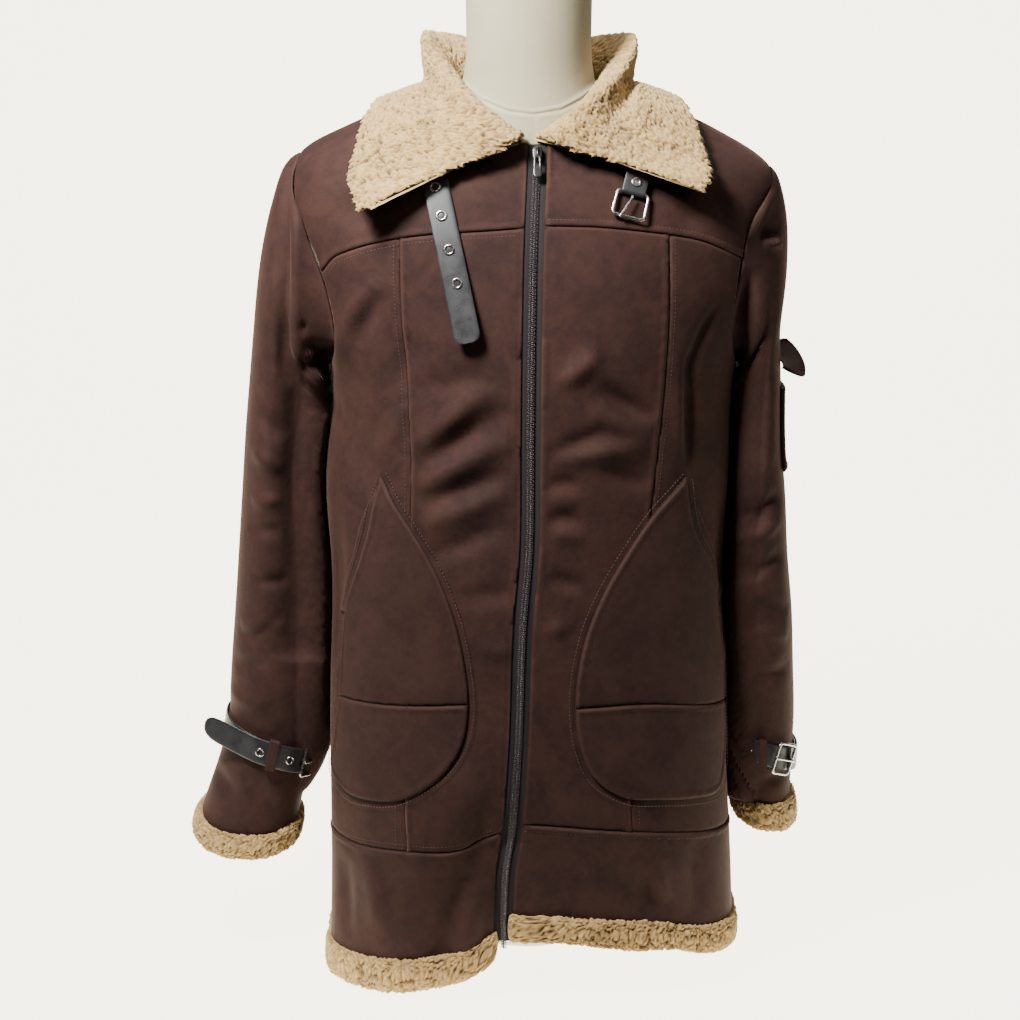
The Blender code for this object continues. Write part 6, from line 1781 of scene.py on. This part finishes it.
for side in (RIGHT, LEFT):
    word, belt = SIDE_NAMES[side], dict(zip(BELT_COLUMNS, BELTS[side]))
    across = np.linspace(-BELT_HALF, BELT_HALF, 4)
    points, normals = on_belt(side, np.arange(0, 360, 3.0)[:, None], across[None])
    dress(make_tube(f"cuff_strap_{word}", strap_rings(points, normals, BELT_LOW, BELT_HIGH), leather,
            closed=True),
          f"cuff_belt_{word}")
    stop = belt["leave"] - (360 if belt["leave"] > 180 else 0)
    points, normals = on_belt(side, np.linspace(belt["buckle"] - TAIL_START, stop, 44)[:, None], across[None])
    ahead = unit((points[-1] - points[-4]).mean(0))
    middle = points[-1].mean(0)
    rows = [middle + ahead * share * belt["free"] + (points[-1] - middle) * wide_share for share,
            wide_share in TAIL_TIP]
    points = np.concatenate([points, rows])
    normals = np.concatenate([normals, np.repeat(normals[-1:], len(rows), 0)])
    dress(make_tube(f"cuff_end_{word}", strap_rings(points, normals, TAIL_LOW, TAIL_HIGH), leather),
          f"cuff_tail_{word}")
    section = rounded(KEEPER_SECTION, 1.0, 4)
    rings = []
    for turn in belt["keeper"] + np.linspace(-5, 5, 9):
        point, normal = on_belt(side, turn, section[:, 0])
        rings.append(point + normal * section[:, 1:])
    loop = make_tube(f"cuff_loop_{word}", np.stack(rings), suede)
    add_attribute(loop, "seam", np.full(len(loop.data.vertices), FAR))
    dress(loop, f"cuff_keeper_{word}")
    for number, turn in enumerate(belt["eyelets"], 1):
        point, normal = on_belt(side, turn, 0)
        low = belt["eyelet_low"]
        eyelet(f"cuff_ring_{word}_{number}", point, normal, CUFF_EYELET_RADIUS, CUFF_EYELET_HOLE, low - 0.2,
               low + 1.5,
               f"cuff_eyelet_{word}_{number}")
        # A dark disc in the hole, as painted shade.
        hole_shade_disc(f"cuff_hole_shade_{word}_{number}", point, normal, CUFF_EYELET_HOLE + 0.7, low)
    point, normal = on_belt(side, belt["buckle"], 0)
    ahead = unit(on_belt(side, belt["buckle"] - 4, 0)[0] - on_belt(side, belt["buckle"] + 4, 0)[0])
    up = np.cross(ahead, normal)
    up = unit(up * np.sign(up[2]))
    centre = point + normal * CUFF_BUCKLE_HIGH
    corners = [centre + ahead * u * CUFF_BUCKLE_HALF + up * v * CUFF_BUCKLE_TALL
               for u, v in ((-1, -1), (1, -1), (1, 1), (-1, 1))]
    dress(wire(f"cuff_frame_{word}", resampled(rounded(corners, 4.0, 9), 110), CUFF_BUCKLE_WIRE, normal,
            nickel),
          f"cuff_buckle_{word}")
    path = [centre + normal * CUFF_PRONG_HIGH + ahead * u for u in np.linspace(-12, 12.5, 12)]
    dress(wire(f"cuff_tongue_{word}", path, CUFF_PRONG_WIRE, up, nickel, closed=False), f"cuff_prong_{word}")
print("cuff straps")

# %% [markdown]
# ## Arm pocket
#
# A small patch pocket sits on the outside of the left sleeve. Its flap is open and stands out, curled by
# the snap's weight, with the socket of the snap on its underside.

# %% Arm pocket and flap
ARM_POCKET_TURNS, ARM_POCKET_HEIGHTS = (-52, 40), (495, 577)
ARM_POCKET_OUT, ARM_POCKET_THICK = 1.0, 2.6
ARM_RINGS = (3.0, 8.5)
FLAP_COLUMNS = ("reach", "rise", "twist", "wide")
FLAP_ROWS = ((2.0, 0, 0, 1.0), (8, 0.5, 4, 1.0), (15, 1, 8, 0.95), (21, 1.5, 11, 0.88), (25, 1.5, 12, 0.74))
FLAP_HEIGHT, FLAP_THICK = 597.0, 2.2
SNAP_RADIUS, SNAP_HOLE = 4.5, 1.2


def on_arm(turn, z):
    """The left sleeve's point and normal at a turn and height."""
    ring = ring_at_height(LEFT, turn, z, *ARM_RINGS)
    return sleeve(LEFT, turn, ring), sleeve_normal(LEFT, turn, ring)


turns, heights = np.meshgrid(np.linspace(*ARM_POCKET_TURNS, 44), np.linspace(*ARM_POCKET_HEIGHTS, 52),
        indexing="ij")
points, normals = on_arm(turns, heights)
edge = from_edge(*turns.shape, 1.75, 1.86, both=True)
height = ARM_POCKET_OUT + ARM_POCKET_THICK + seam_relief(edge, edge)
piece = make_wall("arm_pocket_cloth", points + normals * height[..., None], points + normals * ARM_POCKET_OUT,
                  grid_faces(*turns.shape), pocket_suede, edge)
dress(piece, "arm_pocket")
root, out = on_arm(np.linspace(*ARM_POCKET_TURNS, 7), np.full(7, FLAP_HEIGHT))
middle, forward = root.mean(0), np.linspace(-1, 1, 7)[:, None]
flap = []
for row in FLAP_ROWS:
    value = dict(zip(FLAP_COLUMNS, row))
    lift = (value["rise"] - value["twist"] * forward) * np.array([0, 0, 1.0])
    flap.append(middle + (root - middle) * value["wide"] + out * value["reach"] + lift)
flap = np.stack(flap, 1)
normal = unit(np.cross(np.gradient(flap, axis=0), np.gradient(flap, axis=1)))
normal *= np.sign(normal[3, 2, 2])
FLAP_GRID = (40, 28)
at = np.linspace(0, len(FLAP_ROWS) - 1, FLAP_GRID[1])
fine = refined(flap, FLAP_GRID[0], at)
fine_normal = unit(refined(normal, FLAP_GRID[0], at))
edge = from_edge(*FLAP_GRID, 1.8, 1.1)
height = FLAP_THICK + seam_relief(edge, edge) * 0.7
piece = make_wall("arm_flap_cloth", fine + fine_normal * height[..., None], fine, grid_faces(*FLAP_GRID), suede,
        edge)
dress(piece, "arm_pocket_flap")
centre, out = flap[4, 2], -normal[4, 2]
eyelet("snap_socket", centre, out, SNAP_RADIUS, SNAP_HOLE, 0.3, 2.2, "arm_pocket_snap")
print("arm pocket")

# %% [markdown]
# ## Dress form
#
# The form is papier-mâché under stretched canvas, seamed down the front and round the base of the neck.
# Each seam is a shallow groove. Only the neck shows above the zip, but the whole form is there, clear of
# the jacket, on its pole and base.

# %% Form
FORM_LEVELS = (190, 260, 340, 420, 500, 570, 630, 690, 735, 775, 805, 835, 860, 885, 910, 935, 955, 966)
FORM_INSET = ((190, 24), (400, 22), (600, 16), (700, 9), (765, 7.5), (825, 6), (880, 6), (930, 7), (966, 8))
NECK_COLUMNS = ("front_z", "side_z", "back_z", "half", "front", "back")
NECK_ROWS = (
    (836, 866, 876, 65, -104.5, 10),
    (846, 878, 888, 61, -103, 8),
    (880, 902, 908, 59, -102, 4),
    (956, 956, 956, 59.5, -103, 3),
)
NECK_SEAM = ((-78, 882), (-66, 867), (-45, 851), (-20, 841), (4, 838), (30, 842), (50, 852), (69, 867), (80,
        882))
JOINT_GAP, POLE_RADIUS, BASE_RADIUS, BASE_HEIGHT = 0.3, 14.0, 70.0, 8.0
CAP_RADIUS, CAP_THICK = 58.0, 5.0
turn = np.arange(0, 360, 2.5)
turns, levels = np.meshgrid(turn, np.array(FORM_LEVELS, float))
inset = smooth(*zip(*FORM_INSET), FORM_LEVELS)
form_normal = normals_of(torso_base, turns, np.clip(levels, BOTTOM + 2, TOP - 2))
surface = torso_base(turns, levels) - form_normal * inset[:, None, None]
surface[0, :, 2] = surface[0, :, 2].min()
across, along = np.cos(np.radians(turn)), np.sin(np.radians(turn))
neck = []
for row in NECK_ROWS:
    value = dict(zip(NECK_COLUMNS, row))
    end_z = np.where(along < 0, value["front_z"], value["back_z"])
    middle, reach = (value["front"] + value["back"]) / 2, (value["back"] - value["front"]) / 2
    neck.append(np.stack([value["half"] * across, middle + reach * along,
                          value["side_z"] + (end_z - value["side_z"]) * along**2], -1))
rings = np.concatenate([surface, neck])
share = np.concatenate([np.linspace(0, 14, 30)[:-1], np.linspace(14, len(rings) - 1, 110)])
fine = np.stack([smooth(np.arange(len(rings)), rings[:, i, k],
        share) for i in range(len(turn)) for k in range(3)], 1)
fine = fine.reshape(len(share), len(turn), 3)
out = unit(np.cross(np.roll(fine, -1, 1) - np.roll(fine, 1, 1), np.gradient(fine, axis=0)))
seam_line = np.array(NECK_SEAM, float)
round_base = np.abs(fine[..., 2] - np.interp(fine[..., 0], *seam_line.T)) + np.where(fine[..., 1] > -40, 50,
        0)
down_front = np.abs(fine[..., 0] - 4.5) + np.where((fine[..., 1] > -40) | (fine[..., 2] > 838), 50, 0)
groove = np.minimum(round_base, down_front)
fine -= out * (1.0 * np.exp(-((groove / 1.3) ** 2)) - 0.5 * np.exp(-(((groove - 3) / 1.6) ** 2)))[..., None]
form = make_tube("form_canvas", fine, canvas)
dress(form, "form_torso")


def lathe(name, profile, sides, centre, finish, node):
    """Rings round a vertical axis through the centre, from (radius, height) pairs."""
    turn = np.arange(sides) * 2 * np.pi / sides
    rings = [np.stack([centre[0] + r * np.cos(turn), centre[1] + r * np.sin(turn), np.full(sides, z)], 1)
             for r, z in profile]
    dress(make_tube(name, np.stack(rings), finish), node)


def softened(radius, low, high, edge):
    """A cylinder's profile with quarter-round edges."""
    bend = np.radians(np.linspace(0, 90, 6))
    bottom = [(radius - edge * (1 - np.sin(a)), low + edge * (1 - np.cos(a))) for a in bend]
    return bottom + [(radius - edge * (1 - np.cos(a)), high - edge * (1 - np.sin(a))) for a in bend]


neck_middle = rings[-1].mean(0)
neck_top = NECK_ROWS[-1][0]
lathe("form_cap", softened(CAP_RADIUS, neck_top + JOINT_GAP, neck_top + CAP_THICK, 1.5), 96, neck_middle,
      steel,
      "form_neck_cap")
floor = rings[0, 0, 2]
lathe("form_rod", softened(POLE_RADIUS, BASE_HEIGHT + JOINT_GAP, floor - JOINT_GAP, 0.5), 64, (0, 0), steel,
      "form_pole")
lathe("form_foot", softened(BASE_RADIUS, 0, BASE_HEIGHT, 2.0), 128, (0, 0), steel, "form_base")
print("dress form")

# %% [markdown]
# ## The sizes of the cloth's cuts
#
# A table lists every sheet of cloth or leather with the width and length of its flat cut, the share of that
# rectangle it fills, how it is held and what it rests on. A cut that isn't a rectangle fills only a share of
# the rectangle round it: a sleeve narrows towards the cuff, and a pocket comes to a point. The dress form is
# foam under tight canvas, so it is padding and no sheet.

# %% Cloth
CUT_COLUMNS = ("width", "length", "share", "held", "rests_on")
CUTS = {
    "front_yoke_right_cloth": (228, 155, 0.92, "draped", "form_canvas"),
    "front_yoke_left_cloth": (225, 150, 0.92, "draped", "form_canvas"),
    "front_centre_right_cloth": (118, 590, 0.90, "hung", "front_yoke_right_cloth"),
    "front_centre_left_cloth": (137, 575, 0.81, "hung", "front_yoke_left_cloth"),
    "front_side_right_cloth": (185, 588, 0.72, "hung", "front_yoke_right_cloth"),
    "front_side_left_cloth": (190, 585, 0.71, "hung", "front_yoke_left_cloth"),
    "hem_band_right_cloth": (220, 135, 0.88, "hung", "front_side_right_cloth"),
    "hem_band_left_cloth": (250, 120, 0.87, "hung", "front_side_left_cloth"),
    "hem_band_back_cloth": (560, 120, 0.95, "hung", "back_panel_cloth"),
    "back_panel_cloth": (580, 730, 0.94, "draped", "form_canvas"),
    "sleeve_right_cloth": (460, 680, 0.71, "hung", "form_canvas"),
    "sleeve_left_cloth": (420, 640, 0.69, "hung", "form_canvas"),
    "pocket_upper_right_cloth": (140, 230, 0.65, "laid", "front_side_right_cloth"),
    "pocket_upper_left_cloth": (170, 235, 0.68, "laid", "front_side_left_cloth"),
    "pocket_lower_right_cloth": (155, 105, 0.83, "laid", "front_side_right_cloth"),
    "pocket_lower_left_cloth": (175, 104, 0.85, "laid", "front_side_left_cloth"),
    "pocket_facing_right_cloth": (40, 140, 0.36, "laid", "front_side_right_cloth"),
    "pocket_facing_left_cloth": (45, 130, 0.39, "laid", "front_side_left_cloth"),
    "zip_tape_right_cloth": (10.5, 760, 0.95, "hung", "front_centre_right_cloth"),
    "zip_tape_left_cloth": (10.5, 760, 0.95, "hung", "front_centre_left_cloth"),
    "collar_fleece": (640, 165, 1.0, "folded", "back_panel_cloth"),
    "collar_suede": (560, 145, 0.93, "folded", "back_panel_cloth"),
    "hem_fleece_right": (230, 50, 1.0, "hung", "hem_band_right_cloth"),
    "hem_fleece_left": (255, 48, 1.0, "hung", "hem_band_left_cloth"),
    "hem_fleece_back": (570, 52, 1.0, "hung", "hem_band_back_cloth"),
    "cuff_fleece_right": (330, 38, 1.0, "hung", "sleeve_right_cloth"),
    "cuff_fleece_left": (280, 37, 1.0, "hung", "sleeve_left_cloth"),
    "arm_pocket_cloth": (122, 84, 0.98, "laid", "sleeve_left_cloth"),
    "arm_flap_cloth": (85, 38, 0.93, "laid", "sleeve_left_cloth"),
    "neck_strap_leather": (24, 172, 1.0, "hung", "front_yoke_right_cloth"),
    "buckle_leather": (30, 45, 1.0, "folded", "front_yoke_left_cloth"),
    "cuff_strap_right": (24, 370, 1.0, "laid", "sleeve_right_cloth"),
    "cuff_strap_left": (24, 295, 1.0, "laid", "sleeve_left_cloth"),
    "cuff_end_right": (24, 112, 1.0, "laid", "cuff_strap_right"),
    "cuff_end_left": (24, 86, 1.0, "laid", "cuff_strap_left"),
    "cuff_loop_right": (18, 36, 1.0, "laid", "cuff_strap_right"),
    "cuff_loop_left": (17, 34, 1.0, "laid", "cuff_strap_left"),
}
for name, row in CUTS.items():
    cut = dict(zip(CUT_COLUMNS, row))
print(len(CUTS), "sheets declared")
